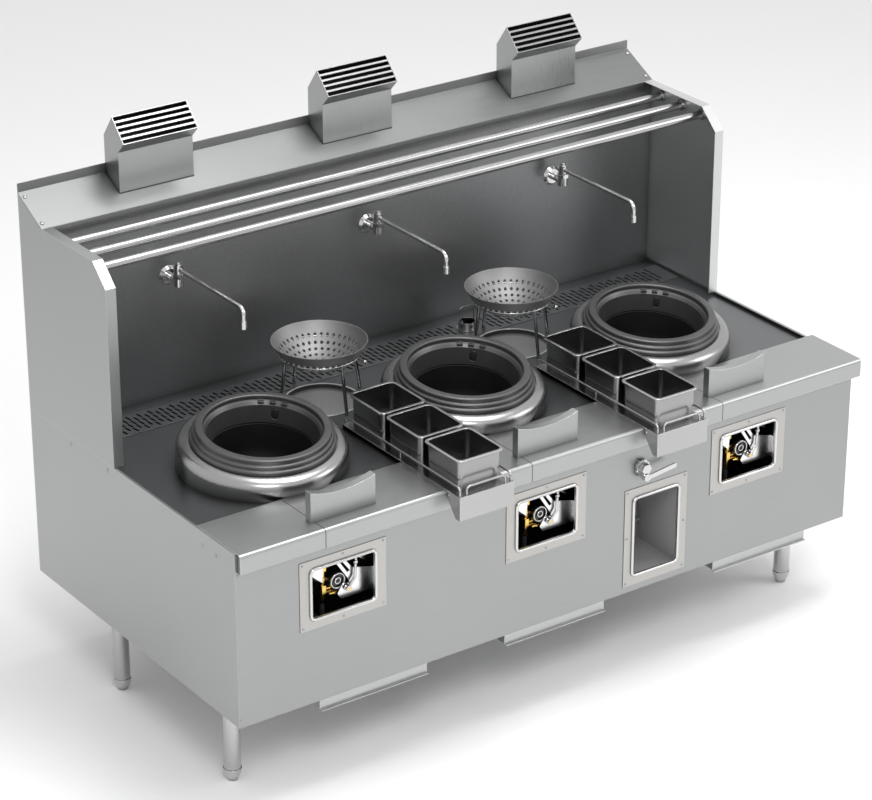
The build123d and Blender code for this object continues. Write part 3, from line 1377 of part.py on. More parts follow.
with BuildPart() as drain_basket:
    rod_z(basket_x, basket_y, basket_bottom, basket_top, basket_radius)
    rod_z(basket_x, basket_y, basket_bottom + basket_wall, basket_top, basket_radius - basket_wall,
          mode=Mode.SUBTRACT)
    rod_z(basket_x, basket_y, deck_height + sheet + seat_gap, deck_height + 2 * sheet + seat_gap,
          basket_flange)
    rod_z(basket_x, basket_y, basket_bottom + basket_wall, basket_top, basket_radius - basket_wall,
          mode=Mode.SUBTRACT)
    for row, level in enumerate(hole_levels):
        for turn in range(0, 180, hole_step):
            shift = hole_step / 2 * (row % 2)
            with Locations(Location((basket_x, basket_y, level), (90, 0, turn + shift))):
                Cylinder(basket_hole, 3 * basket_radius, mode=Mode.SUBTRACT)
    bail = basket_radius - basket_wall / 2
    bail_foot = basket_top - hole_drop / 2
    bail_top = deck_height + basket_bail
    wire([(basket_x - bail, basket_y, bail_foot), (basket_x - bail, basket_y, bail_top),
          (basket_x + bail, basket_y, bail_top), (basket_x + bail, basket_y, bail_foot)],
         bail_wire, bail_bend)
drain_basket.part.label = "drain_basket"
export_step(drain_basket.part, "parts/drain_basket.step")

# ---------------------------------------------------------------- condiment racks
rack_floor = work_height + seat_gap
rack_front = inward(-rack_overhang)
rack_rear = inward(rack_length - rack_overhang)
rail_x = rack_width / 2 - rail_inset
rail_z = rack_floor + rail_height
rail_root = rack_floor + sheet / 2
rail_front = rack_front + 8.0
rail_rear = rack_rear - 5.0
apron_foot = rack_floor + sheet - apron_height


def rail(start, end):
    """A wire that rises from the rack's floor, runs along at the rail's height and comes down again."""
    wire([(*start, rail_root), (*start, rail_z), (*end, rail_z), (*end, rail_root)], rail_wire, rail_bend)


for number, x in enumerate(rack_x, start=1):
    left_edge, right_edge = x - rack_width / 2, x + rack_width / 2
    with BuildPart() as condiment_rack:
        slab(left_edge, right_edge, rack_front, rack_rear, rack_floor, rack_floor + sheet)
        slab(left_edge, right_edge, rack_front, rack_front + sheet, apron_foot, rack_floor)
        slab(left_edge, x + rack_clip, rack_rear - sheet, rack_rear, deck_height + seat_gap, rack_floor)
        slab(x + rack_clip, x + rack_width, inward(rack_clip_back), rack_rear + sheet,
             rack_floor - sheet, rack_floor + 2 * sheet, mode=Mode.SUBTRACT)
        for side in (-1, 1):
            inner = x + side * (rack_width / 2 - sheet)
            outer = x + side * rack_width / 2
            with BuildSketch(Plane.YZ.offset(min(inner, outer))):
                sheet_profile([
                    (rack_front + sheet, rack_floor),
                    (rack_front + sheet, apron_foot),
                    (rack_front + cheek_depth / 3, apron_foot),
                    (rack_front + cheek_depth, rack_floor - cheek_depth / 3),
                    (rack_front + cheek_depth, rack_floor),
                ])
            extrude(amount=sheet)
            screw_tip = outer + side * screw_head
            rod_x(rack_front + cheek_depth - cheek_screw, rack_floor - cheek_screw,
                  min(outer, screw_tip), max(outer, screw_tip), screw_radius)
            rail_end = rail_rear if side < 0 else inward(rail_clip)
            rail((x + side * rail_x, rail_front), (x + side * rail_x, rail_end))
            rod_z(x + side * rail_x, inward(rail_post), rail_root, rail_z, rail_wire - 0.5)
        front_reach = rail_x - 20.0
        rail((x - front_reach, rack_front + rail_inset), (x + front_reach, rack_front + rail_inset))
    condiment_rack.part.label = f"condiment_rack_{number}"
    export_step(condiment_rack.part, f"parts/condiment_rack_{number}.step")

# ---------------------------------------------------------------- condiment pans
pan_floor = rack_floor + sheet + seat_gap
pan_top = pan_floor + pan_height
pan_spread = (pan_height - sheet) * tan(radians(pan_taper))
pan_foot_width = pan_width - 2 * pan_rim - 2 * pan_spread
pan_foot_length = pan_length - 2 * pan_rim - 2 * pan_spread

for rack, x in enumerate(rack_x, start=1):
    for place in range(1, pan_count + 1):
        y = inward(pan_first + (place - 1) * pan_pitch)
        with BuildPart() as pan:
            with BuildSketch(Plane((x, y, pan_floor))):
                RectangleRounded(pan_foot_width, pan_foot_length, pan_corner)
            extrude(amount=pan_height - sheet, taper=-pan_taper)
            with BuildSketch(Plane((x, y, pan_top - pan_lip))):
                RectangleRounded(pan_width, pan_length, pan_corner + pan_rim)
                RectangleRounded(pan_width - 2 * pan_wall, pan_length - 2 * pan_wall,
                                 pan_corner + pan_rim - pan_wall, mode=Mode.SUBTRACT)
            extrude(amount=pan_lip)
            with BuildSketch(Plane((x, y, pan_top - sheet))):
                RectangleRounded(pan_width, pan_length, pan_corner + pan_rim)
            extrude(amount=sheet)
            with BuildSketch(Plane((x, y, pan_floor + pan_wall))):
                RectangleRounded(pan_foot_width - 2 * pan_wall, pan_foot_length - 2 * pan_wall,
                                 pan_corner - pan_wall)
            extrude(amount=pan_height - pan_wall, taper=-pan_taper, mode=Mode.SUBTRACT)
        pan.part.label = f"pan_{rack}_{place}"
        export_step(pan.part, f"parts/pan_{rack}_{place}.step")

# ---------------------------------------------------------------- drip trays
tray_top = cabinet_bottom - seat_gap
tray_floor = runner_bottom + sheet + seat_gap
lip_side = tray_width / 2 + tray_lip_extra

for number, place in enumerate(tray_places, start=1):
    x = along(place)
    with BuildPart() as drip_tray:
        slab(x - tray_width / 2 + seat_gap, x + tray_width / 2 - seat_gap, inward(sheet),
             inward(tray_length), tray_floor, tray_floor + tray_height)
        slab(x - tray_width / 2 + seat_gap + sheet, x + tray_width / 2 - seat_gap - sheet,
             inward(2 * sheet), inward(tray_length - sheet), tray_floor + sheet,
             tray_floor + tray_height, mode=Mode.SUBTRACT)
        slab(x - lip_side, x + lip_side, inward(0), inward(sheet), tray_top - tray_lip, tray_top)
        slab(x - lip_side, x + lip_side, inward(sheet - tray_hook), inward(sheet),
             tray_top - tray_lip - sheet, tray_top - tray_lip)
    drip_tray.part.label = f"drip_tray_{number}"
    export_step(drip_tray.part, f"parts/drip_tray_{number}.step")

# ---------------------------------------------------------------- legs and feet
leg_x = (along(leg_side_inset), along(cabinet_width - leg_side_inset))
leg_y = (inward(leg_front), inward(cabinet_depth - leg_back_inset))
leg_places = [(x, y) for y in leg_y for x in leg_x]
leg_end = foot_height + seat_gap

with BuildPart() as legs:
    for x, y in leg_places:
        rod_z(x, y, leg_end, cabinet_bottom - leg_plate_thickness, leg_radius)
        slab(x - leg_plate / 2, x + leg_plate / 2, y - leg_plate / 2, y + leg_plate / 2,
             cabinet_bottom - leg_plate_thickness, cabinet_bottom)
        rod_z(x, y, leg_end, cabinet_bottom - leg_plate_thickness, leg_radius - leg_wall,
              mode=Mode.SUBTRACT)
legs.part.label = "legs"
export_step(legs.part, "parts/legs.step")

for number, (x, y) in enumerate(leg_places, start=1):
    with BuildPart() as foot:
        with BuildSketch(Plane((x, y, 0), x_dir=(1, 0, 0), z_dir=(0, -1, 0))):
            Polygon((0, 0), (foot_tip, 0), (foot_turn, foot_cone * 0.8), (foot_turn, foot_cone),
                    (foot_collar, foot_cone), (foot_collar, foot_height),
                    (leg_radius - leg_wall - pin_clearance, foot_height),
                    (leg_radius - leg_wall - pin_clearance, foot_height + foot_stem),
                    (0, foot_height + foot_stem), align=None)
        revolve(axis=Axis((x, y, 0), (0, 0, 1)))
    foot.part.label = f"foot_{number}"
    export_step(foot.part, f"parts/foot_{number}.step")

# ---------------------------------------------------------------- screws
panel_edge = 7.0
panel_low = cabinet_bottom + 25.0
panel_high = work_height - ledge_face - 8.0
side_places = ((862.0, 768.0), (659.0, 768.0), (162.0, 748.0), (95.0, 748.0))
cap_places = (980.0, 1072.0)
cap_edge = 12.0


def bezel_places():
    """Screw centres on the bezels, as X and Z coordinates."""
    places = []
    wide = window_width / 2 + bezel_border_x - bezel_screw_inset
    high = window_opening / 2 + bezel_border_z - bezel_screw_inset
    for place in window_places:
        for step in (-1, 0, 1):
            for level in (-1, 1):
                places.append((along(place) + step * wide, window_height + level * high))
    wide = tall_window_width / 2 + tall_border - bezel_screw_inset
    high = tall_window_opening / 2 + tall_border - bezel_screw_inset
    for step in (-1, 1):
        for level in (-1, 0, 1):
            places.append((along(tall_window_left) + step * wide, tall_window_height + level * high))
    return places


with BuildPart() as screws:
    for x in (left_x + panel_edge, right_x - panel_edge):
        for z in (panel_low, panel_high):
            rod_y(x, z, front_y - screw_head, front_y, screw_radius)
    for distance, z in side_places:
        rod_x(inward(distance), z, left_x - screw_head, left_x, panel_screw_radius)
        if distance > ledge_depth:
            rod_x(inward(distance), z, right_x, right_x + screw_head, panel_screw_radius)
    for x in (left_x + cap_edge, right_x - cap_edge):
        for distance in cap_places:
            with BuildSketch(Plane(origin=(x, inward(distance), cap_level(distance)), x_dir=(1, 0, 0),
                                   z_dir=(0, -cap_slope, 1))):
                Circle(panel_screw_radius)
            extrude(amount=cap_screw_head)
    for x, z in bezel_places():
        rod_y(x, z, inward(-sheet) - screw_head, inward(-sheet), screw_radius)
screws.part.label = "screws"
export_step(screws.part, "parts/screws.step")
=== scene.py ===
"""Looks for the wok range: materials, small details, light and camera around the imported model."""
import json
import math

import bmesh
import bpy
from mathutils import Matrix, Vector


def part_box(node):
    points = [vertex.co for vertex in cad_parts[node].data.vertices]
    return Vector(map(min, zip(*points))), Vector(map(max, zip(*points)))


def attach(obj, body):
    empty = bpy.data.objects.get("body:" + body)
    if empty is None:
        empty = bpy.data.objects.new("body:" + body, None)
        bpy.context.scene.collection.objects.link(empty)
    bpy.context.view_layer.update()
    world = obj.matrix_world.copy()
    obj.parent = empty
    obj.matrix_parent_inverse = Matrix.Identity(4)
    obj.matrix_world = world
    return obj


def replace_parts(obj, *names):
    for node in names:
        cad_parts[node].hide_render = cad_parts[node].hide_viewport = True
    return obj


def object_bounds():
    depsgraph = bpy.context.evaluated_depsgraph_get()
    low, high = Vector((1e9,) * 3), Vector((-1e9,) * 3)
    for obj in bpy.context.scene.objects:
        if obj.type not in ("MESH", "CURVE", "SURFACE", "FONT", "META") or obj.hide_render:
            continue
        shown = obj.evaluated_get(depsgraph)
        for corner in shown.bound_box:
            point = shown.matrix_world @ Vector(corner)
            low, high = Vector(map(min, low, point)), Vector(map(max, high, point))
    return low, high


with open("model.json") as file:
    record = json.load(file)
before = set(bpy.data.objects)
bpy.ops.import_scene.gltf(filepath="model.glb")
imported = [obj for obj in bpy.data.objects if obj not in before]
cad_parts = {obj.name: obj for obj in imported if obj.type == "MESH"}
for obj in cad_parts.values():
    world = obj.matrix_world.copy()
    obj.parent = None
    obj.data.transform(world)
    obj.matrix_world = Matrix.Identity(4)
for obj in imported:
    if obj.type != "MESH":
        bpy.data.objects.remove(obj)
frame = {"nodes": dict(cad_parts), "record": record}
nodes = frame["nodes"]
cad_low, cad_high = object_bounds()

MM = 0.001

# Noise scales of the brushed finishes, and how the noise is stretched along the brushing.
FINE_GRAIN, BROAD_GRAIN = 300.0, 200.0
ALONG_X = (0.04, 1.0, 1.0)
ALONG_Z = (1.0, 1.0, 0.04)
SPUN = (1.0, 1.0, 0.15)
PIT_SCALE, PIT_STRENGTH = 900.0, 0.12
JOINT_WIDTH = 0.0016

# Places in millimetres along the range from the cabinet's left side, the same as in the solids.
WINDOW_PLACES = (334.0, 1011.0, 1741.0)
TALL_WINDOW_PLACE = 1403.0
JOINT_PLACES = (272.0, 949.0, 1627.0)
RISER_PLACES = (277.0, 954.0, 1631.0)
STATION_PLACES = (357.0, 1035.0, 1713.0)

# Levels above the floor and sizes, in metres.
WINDOW_LEVEL, WINDOW_WIDTH, WINDOW_HEIGHT = 0.600, 0.208, 0.151
TALL_LEVEL, TALL_WIDTH, TALL_HEIGHT = 0.445, 0.166, 0.248
RIM_CORNER, RIM_RADIUS, RIM_BEHIND = 0.014, 0.0045, 0.004
DIAL_RIGHT, DIAL_DOWN, DIAL_OUT = 0.010, 0.009, 0.0005
DIAL_RING, DIAL_RING_WIRE = 0.0215, 0.0026
DIAL_HUB, DIAL_HUB_WIRE = 0.0085, 0.0020
CAP_LOW, CAP_RISE = 1.379, 0.067
RISER_WIDTH, RISER_BEHIND_CAP, RISER_BACK_GAP = 0.240, (1013.0 - 962.0) * MM, 0.004
SHADE_BEAD_RADIUS = 0.0018
RING_TILT = math.radians(6.0)
RING_TOP, RING_BEHIND_PANEL = 0.900, 0.418
PORT_DROP, PORT_OUT = 0.050, 0.1555
PORT_RADIUS, PORT_STRAIGHT, PORT_STEPS = 0.0098, 0.0070, 32
PAN_LIP_START, PAN_LIP_END = 0.0012, 0.0008
COLLAR_SHADE_HEIGHT, COLLAR_SHADE = 0.045, 0.35
LIP_SHADE_DEPTH, LIP_SHADE = 0.022, 0.12


# ------------------------------------------------------------------ materials
def new_material(name):
    """An empty node tree with a Principled shader, as (material, nodes, links, shader)."""
    material = bpy.data.materials.new(name)
    material.use_nodes = True
    tree = material.node_tree
    shader = tree.nodes["Principled BSDF"]
    return material, tree.nodes, tree.links, shader


def scaled_noise(made, links, coords, scale, detail=3.0, stretch=(1.0, 1.0, 1.0)):
    """A noise value over the object's own coordinates, stretched along the grain."""
    mapping = made.new("ShaderNodeMapping")
    mapping.inputs["Scale"].default_value = stretch
    links.new(coords, mapping.inputs["Vector"])
    noise = made.new("ShaderNodeTexNoise")
    noise.inputs["Scale"].default_value = scale
    noise.inputs["Detail"].default_value = detail
    links.new(mapping.outputs["Vector"], noise.inputs["Vector"])
    return noise.outputs["Fac"]


def remap(made, links, value, low, high, start=0.3, end=0.7):
    """A value from start to end, mapped to low to high and clamped."""
    node = made.new("ShaderNodeMapRange")
    node.inputs["From Min"].default_value = start
    node.inputs["From Max"].default_value = end
    node.inputs["To Min"].default_value = low
    node.inputs["To Max"].default_value = high
    links.new(value, node.inputs["Value"])
    return node.outputs["Result"]


def combine(made, links, operation, first, second):
    """Two values put together by a Math node. The second may be a number."""
    node = made.new("ShaderNodeMath")
    node.operation = operation
    links.new(first, node.inputs[0])
    if isinstance(second, float):
        node.inputs[1].default_value = second
    else:
        links.new(second, node.inputs[1])
    return node.outputs["Value"]


def edge_highlight_mask(made, links, radius):
    """How near a point is to an outer or inner edge, from 0 to 1, as the mask for painted edge highlights,
    and the rounded normal there.
    """
    bevel = made.new("ShaderNodeBevel")
    bevel.samples = 4
    bevel.inputs["Radius"].default_value = radius
    flat = made.new("ShaderNodeNewGeometry")
    dot = made.new("ShaderNodeVectorMath")
    dot.operation = "DOT_PRODUCT"
    links.new(bevel.outputs["Normal"], dot.inputs[0])
    links.new(flat.outputs["Normal"], dot.inputs[1])
    return remap(made, links, dot.outputs["Value"], 1.0, 0.0, 0.75, 0.995), bevel.outputs["Normal"]


def crevice_shade(made, links, reach, depth):
    """Painted shade: 1 in the open, down to 1 - depth in gaps and corners narrower than the reach."""
    shade = made.new("ShaderNodeAmbientOcclusion")
    shade.samples = 6
    shade.inputs["Distance"].default_value = reach
    return remap(made, links, shade.outputs["AO"], 1.0 - depth, 1.0, 0.25, 0.8)


def metal(name, colour, roughness, grain=(1.0, 1.0, 1.0), grain_scale=60.0, spread=0.03, shade=0.02,
          bump=0.004, edge_highlight=0.25, edge=0.0012, metallic=1.0, cloud_scale=3.0, speckle=0.0,
          reach=0.03, depth=0.6):
    """Worked metal: grain along one axis, faint clouding, fine speckle, painted highlights on edges, painted
    shade in gaps.
    """
    material, made, links, shader = new_material(name)
    coords = made.new("ShaderNodeTexCoord").outputs["Object"]
    lines = scaled_noise(made, links, coords, grain_scale, 4.0, grain)
    clouds = scaled_noise(made, links, coords, cloud_scale, 3.0)
    highlight_mask, rounded = edge_highlight_mask(made, links, edge)
    tone = combine(made, links, "ADD", remap(made, links, lines, -shade, shade),
                   remap(made, links, clouds, 1.0 - shade, 1.0 + shade))
    if speckle:
        grit = scaled_noise(made, links, coords, 420.0, 2.0)
        tone = combine(made, links, "ADD", tone, remap(made, links, grit, -speckle, speckle, 0.35, 0.65))
    # Painted highlight: the colour is made brighter near edges.
    tone = combine(made, links, "ADD", tone, combine(made, links, "MULTIPLY", highlight_mask, edge_highlight))
    # Painted shade: the colour is made darker in gaps and corners.
    if depth:
        tone = combine(made, links, "MULTIPLY", tone, crevice_shade(made, links, reach, depth))
    paint = made.new("ShaderNodeVectorMath")
    paint.operation = "SCALE"
    paint.inputs[0].default_value = colour
    links.new(tone, paint.inputs["Scale"])
    links.new(paint.outputs["Vector"], shader.inputs["Base Color"])
    rough = combine(made, links, "ADD", remap(made, links, lines, -spread, spread),
                    remap(made, links, clouds, roughness - spread / 2, roughness + spread / 2))
    links.new(rough, shader.inputs["Roughness"])
    relief = made.new("ShaderNodeBump")
    relief.inputs["Strength"].default_value = bump
    relief.inputs["Distance"].default_value = 0.001
    links.new(lines, relief.inputs["Height"])
    links.new(rounded, relief.inputs["Normal"])
    links.new(relief.outputs["Normal"], shader.inputs["Normal"])
    shader.inputs["Metallic"].default_value = metallic
    return material


def scale_colour(material, value):
    """Multiplies a material's colour by a value in its own tree."""
    tree = material.node_tree
    shader = tree.nodes["Principled BSDF"]
    below = shader.inputs["Base Color"].links[0].from_socket
    node = tree.nodes.new("ShaderNodeVectorMath")
    node.operation = "SCALE"
    tree.links.new(below, node.inputs[0])
    tree.links.new(value, node.inputs["Scale"])
    tree.links.new(node.outputs["Vector"], shader.inputs["Base Color"])


def place_axis(material, axis):
    """One of the object's own coordinates, in metres, in a material's tree."""
    tree = material.node_tree
    coords = next(node for node in tree.nodes if node.type == "TEX_COORD").outputs["Object"]
    split = tree.nodes.new("ShaderNodeSeparateXYZ")
    tree.links.new(coords, split.inputs[0])
    return split.outputs[axis]


def seamed(material, places, width):
    """Thin dark joints across a material at some X places."""
    tree = material.node_tree
    where = place_axis(material, "X")
    for place in places:
        away = combine(tree.nodes, tree.links, "ABSOLUTE",
                       combine(tree.nodes, tree.links, "SUBTRACT", where, place), 0.0)
        scale_colour(material, remap(tree.nodes, tree.links, away, 0.12, 1.0, width * 0.4, width))
    return material


def darkened(material, axis, start, end, low):
    """Painted shade: darker before a place on an axis, low at the start, unchanged from the end on."""
    tree = material.node_tree
    scale_colour(material, remap(tree.nodes, tree.links, place_axis(material, axis), low, 1.0, start, end))
    return material


def shaded_lip(material, lip, below, low):
    """Painted shadow: a dark band on the inside just below a lip, with the lip itself left bright."""
    tree = material.node_tree
    height = place_axis(material, "Z")
    band = remap(tree.nodes, tree.links, height, 1.0, low, lip - below, lip - below * 0.45)
    top = remap(tree.nodes, tree.links, height, 0.0, 1.0, lip + 0.0001, lip + 0.0006)
    scale_colour(material, combine(tree.nodes, tree.links, "MAXIMUM", band, top))
    return material


def polish_and_highlight_from(material, axis, start, end, highlight_gain, gloss):
    """Smoother past an X, Y or Z place, and brighter in colour there: a painted highlight."""
    tree = material.node_tree
    where = place_axis(material, axis)
    scale_colour(material, remap(tree.nodes, tree.links, where, 1.0, highlight_gain, start, end))
    shader = tree.nodes["Principled BSDF"]
    rough = shader.inputs["Roughness"].links[0].from_socket
    less = combine(tree.nodes, tree.links, "MULTIPLY", rough,
                   remap(tree.nodes, tree.links, where, 1.0, gloss, start, end))
    tree.links.new(less, shader.inputs["Roughness"])
    return material


def pitted(material, scale, strength, distance=0.0006):
    """Adds a fine cast or blasted texture to a material's relief."""
    tree = material.node_tree
    coords = next(node for node in tree.nodes if node.type == "TEX_COORD").outputs["Object"]
    grit = scaled_noise(tree.nodes, tree.links, coords, scale, 2.0)
    relief = tree.nodes.new("ShaderNodeBump")
    relief.inputs["Strength"].default_value = strength
    relief.inputs["Distance"].default_value = distance
    shader = tree.nodes["Principled BSDF"]
    below = shader.inputs["Normal"].links[0].from_socket
    tree.links.new(grit, relief.inputs["Height"])
    tree.links.new(below, relief.inputs["Normal"])
    tree.links.new(relief.outputs["Normal"], shader.inputs["Normal"])
    return material


pan_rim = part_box("pan_1_1")[1][2]
deck_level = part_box("deck")[1][2]
MATERIALS = {
    "panel_steel": metal("panel_steel", (0.385, 0.39, 0.39), 0.36, ALONG_X, FINE_GRAIN, edge_highlight=0.6,
                         edge=0.002),
    "deck_steel": metal("deck_steel", (0.165, 0.169, 0.173), 0.34, ALONG_X, FINE_GRAIN, speckle=0.06,
                        edge_highlight=0.8, edge=0.002, reach=0.08, depth=0.8),
    # Painted shade: the collar's skirt is darker towards the deck.
    "collar_steel": darkened(metal("collar_steel", (0.34, 0.34, 0.34), 0.26, SPUN, BROAD_GRAIN, spread=0.004,
                                   shade=0.004, bump=0.001, edge_highlight=0.0, depth=0.0),
                             "Z", deck_level, deck_level + COLLAR_SHADE_HEIGHT, COLLAR_SHADE),
    "cast_iron": pitted(metal("cast_iron", (0.10, 0.10, 0.102), 0.36, grain_scale=25.0, edge_highlight=0.9,
                              edge=0.0018, metallic=0.7, depth=0.3), PIT_SCALE, PIT_STRENGTH),
    "black_pipe": metal("black_pipe", (0.02, 0.02, 0.021), 0.5, metallic=0.0, edge_highlight=0.3),
    "brass": metal("brass", (0.80, 0.55, 0.16), 0.17, grain_scale=90.0, edge_highlight=0.3, reach=0.01),
    "black_enamel": metal("black_enamel", (0.012, 0.012, 0.012), 0.16, metallic=0.0, edge_highlight=0.8),
    "bright_steel": metal("bright_steel", (0.80, 0.80, 0.80), 0.2, ALONG_X, BROAD_GRAIN, edge_highlight=0.1),
    "bezel_steel": metal("bezel_steel", (0.455, 0.443, 0.428), 0.40, ALONG_X, BROAD_GRAIN, edge_highlight=0.5,
                         edge=0.0006, speckle=0.03, reach=0.006, depth=0.9),
    "dark_steel": metal("dark_steel", (0.40, 0.40, 0.405), 0.4, ALONG_Z, BROAD_GRAIN, metallic=0.25,
                        reach=0.08, depth=0.3),
    "chrome": metal("chrome", (0.58, 0.58, 0.58), 0.12, grain_scale=40.0, spread=0.01, edge_highlight=0.1,
                    reach=0.02),
    "pipe_steel": metal("pipe_steel", (0.5, 0.5, 0.5), 0.3, grain_scale=50.0),
    "screw_steel": metal("screw_steel", (0.42, 0.42, 0.42), 0.22, grain_scale=300.0, edge_highlight=0.3,
                         edge=0.0004, reach=0.004, depth=0.85),
    # Painted shadow below the well's lip.
    "well_steel": shaded_lip(metal("well_steel", (0.74, 0.74, 0.74), 0.34, ALONG_Z, BROAD_GRAIN, edge_highlight=0.3,
                                   metallic=0.8, depth=0.3), deck_level, LIP_SHADE_DEPTH, LIP_SHADE),
    "wire_steel": metal("wire_steel", (0.34, 0.34, 0.34), 0.2, grain_scale=60.0, reach=0.01),
    "strainer_steel": metal("strainer_steel", (0.25, 0.25, 0.25), 0.56, grain_scale=80.0, edge_highlight=1.0,
                            edge=0.0008, reach=0.006, depth=0.3),
    "rack_steel": metal("rack_steel", (0.42, 0.42, 0.42), 0.24, ALONG_X, FINE_GRAIN, edge_highlight=0.9, edge=0.0016),
    # Painted highlight: the pans' rims are brighter in colour, as well as smoother.
    "pan_steel": polish_and_highlight_from(metal("pan_steel", (0.33, 0.33, 0.33), 0.22, ALONG_X, FINE_GRAIN, edge_highlight=1.0,
                                     edge=0.0016, reach=0.08, depth=0.55),
                               "Z", pan_rim - PAN_LIP_START, pan_rim - PAN_LIP_END, 1.7, 0.8),
}
cabinet_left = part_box("side_panel_left")[0][0]
tray_steel = metal("tray_steel", (0.44, 0.445, 0.445), 0.36, ALONG_X, FINE_GRAIN, edge_highlight=0.7, edge=0.002)
OWN = {
    # Painted shade: the front panel is a darker copy of the side panels' steel.
    "front_panel": metal("front_steel_shaded", (0.335, 0.339, 0.339), 0.36, ALONG_X, FINE_GRAIN, edge_highlight=0.6,
                         edge=0.002),
    "front_ledge": seamed(metal("ledge_steel", (0.40, 0.404, 0.404), 0.35, ALONG_X, FINE_GRAIN, edge_highlight=0.9,
                                edge=0.003, reach=0.02),
                          [cabinet_left + place * MM for place in JOINT_PLACES], JOINT_WIDTH),
    # Painted shade: the sloped cap is a darker copy of the panel steel.
    "splash_cap": metal("cap_steel_shaded", (0.225, 0.228, 0.228), 0.40, ALONG_X, FINE_GRAIN, edge_highlight=0.6, edge=0.002,
                        reach=0.06, depth=0.6),
    # Painted shade: the risers' gap shade is strong, near black between the slats.
    "flue_risers": metal("riser_steel", (0.38, 0.385, 0.385), 0.3, ALONG_Z, FINE_GRAIN, edge_highlight=0.7,
                         edge=0.0012, reach=0.03, depth=0.97),
    "backsplash": metal("splash_steel", (0.235, 0.238, 0.242), 0.38, ALONG_X, FINE_GRAIN, speckle=0.10,
                        edge_highlight=0.3, reach=0.05, depth=0.5),
    "fire_pots": pitted(metal("pot_iron", (0.06, 0.06, 0.061), 0.5, grain_scale=25.0, edge_highlight=0.3),
                        PIT_SCALE, PIT_STRENGTH),
    # Painted light: the right splash side is a brighter copy of the panel steel.
    "splash_side_right": metal("guard_steel_lit", (0.60, 0.605, 0.605), 0.42, ALONG_X, FINE_GRAIN, edge_highlight=0.5,
                               depth=0.3),
    "drip_tray_1": tray_steel, "drip_tray_2": tray_steel, "drip_tray_3": tray_steel,
    "legs": metal("leg_steel", (0.50, 0.50, 0.50), 0.24, ALONG_Z, BROAD_GRAIN, edge_highlight=0.2),
    "shelf_tubes": metal("tube_steel", (0.42, 0.42, 0.42), 0.25, ALONG_X, BROAD_GRAIN, edge_highlight=0.2, spread=0.01,
                         reach=0.02),
    "trough_cover": metal("cover_steel", (0.20, 0.204, 0.208), 0.36, ALONG_X, FINE_GRAIN, speckle=0.06,
                          edge_highlight=0.1, depth=0.2),
    # Painted shade: the trough under the cover's slots is near black, so the slots read dark.
    "rear_trough": metal("trough_shade_black", (0.02, 0.02, 0.02), 0.6, ALONG_X, FINE_GRAIN),
}
for subpart in frame["record"]["subparts"]:
    target = nodes[subpart["node"]]
    target.data.materials.clear()
    target.data.materials.append(OWN.get(subpart["node"], MATERIALS[subpart["material_slot"]]))


# ------------------------------------------------------------------ small pieces
def finished(name, mesh, body, material):
    """A new piece from a bmesh: it rides on a body and takes the given material."""
    data = bpy.data.meshes.new(name)
    bmesh.ops.recalc_face_normals(mesh, faces=mesh.faces)
    mesh.to_mesh(data)
    mesh.free()
    for face in data.polygons:
        face.use_smooth = True
    data.materials.append(material)
    piece = bpy.data.objects.new(name, data)
    bpy.context.scene.collection.objects.link(piece)
    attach(piece, body)
    return piece


def ring_tube(mesh, path, radius, around):
    """A round closed tube along a flat loop of points that faces along Y."""
    loops = []
    count = len(path)
    turns = [2 * math.pi * step / around for step in range(around)]
    for number, point in enumerate(path):
        ahead = (path[(number + 1) % count] - path[number - 1]).normalized()
        out = ahead.cross(Vector((0, 1, 0)))
        loops.append([mesh.verts.new(point + radius * (math.cos(turn) * out
                                                       + Vector((0, math.sin(turn), 0))))
                      for turn in turns])
    for number in range(count):
        one, two = loops[number - 1], loops[number]
        for step in range(around):
            mesh.faces.new((one[step - 1], one[step], two[step], two[step - 1]))


def rounded_loop(x, y, z, width, height, corner, steps=8):
    """Points round a rectangle with rounded corners, in the plane that faces along Y."""
    points = []
    for quarter, (side, level) in enumerate(((1, 1), (-1, 1), (-1, -1), (1, -1))):
        middle = Vector((x + side * (width / 2 - corner), y, z + level * (height / 2 - corner)))
        for step in range(steps + 1):
            turn = math.pi / 2 * (quarter + step / steps)
            points.append(middle + corner * Vector((math.cos(turn), 0, math.sin(turn))))
    return points


def circle_points(x, y, z, radius, steps):
    """Points round a circle that faces along Y."""
    return [Vector((x + radius * math.cos(turn), y, z + radius * math.sin(turn)))
            for turn in (2 * math.pi * step / steps for step in range(steps))]


window_x = [cabinet_left + place * MM for place in WINDOW_PLACES]
tall_x = cabinet_left + TALL_WINDOW_PLACE * MM
panel_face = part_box("front_panel")[0][1]
bright_rim = metal("bright_rim", (0.62, 0.615, 0.61), 0.2, grain_scale=60.0, edge_highlight=0.1, reach=0.005,
                   depth=0.8)

# A polished, rolled rim round each window, over the bezel's flat flange.
rims = bmesh.new()
rim_y = panel_face - RIM_BEHIND
for x in window_x:
    loop = rounded_loop(x, rim_y, WINDOW_LEVEL, WINDOW_WIDTH, WINDOW_HEIGHT, RIM_CORNER)
    ring_tube(rims, loop, RIM_RADIUS, 16)
loop = rounded_loop(tall_x, rim_y, TALL_LEVEL, TALL_WIDTH, TALL_HEIGHT, RIM_CORNER)
ring_tube(rims, loop, RIM_RADIUS, 16)
finished("bezel_rims", rims, "cabinet", bright_rim)

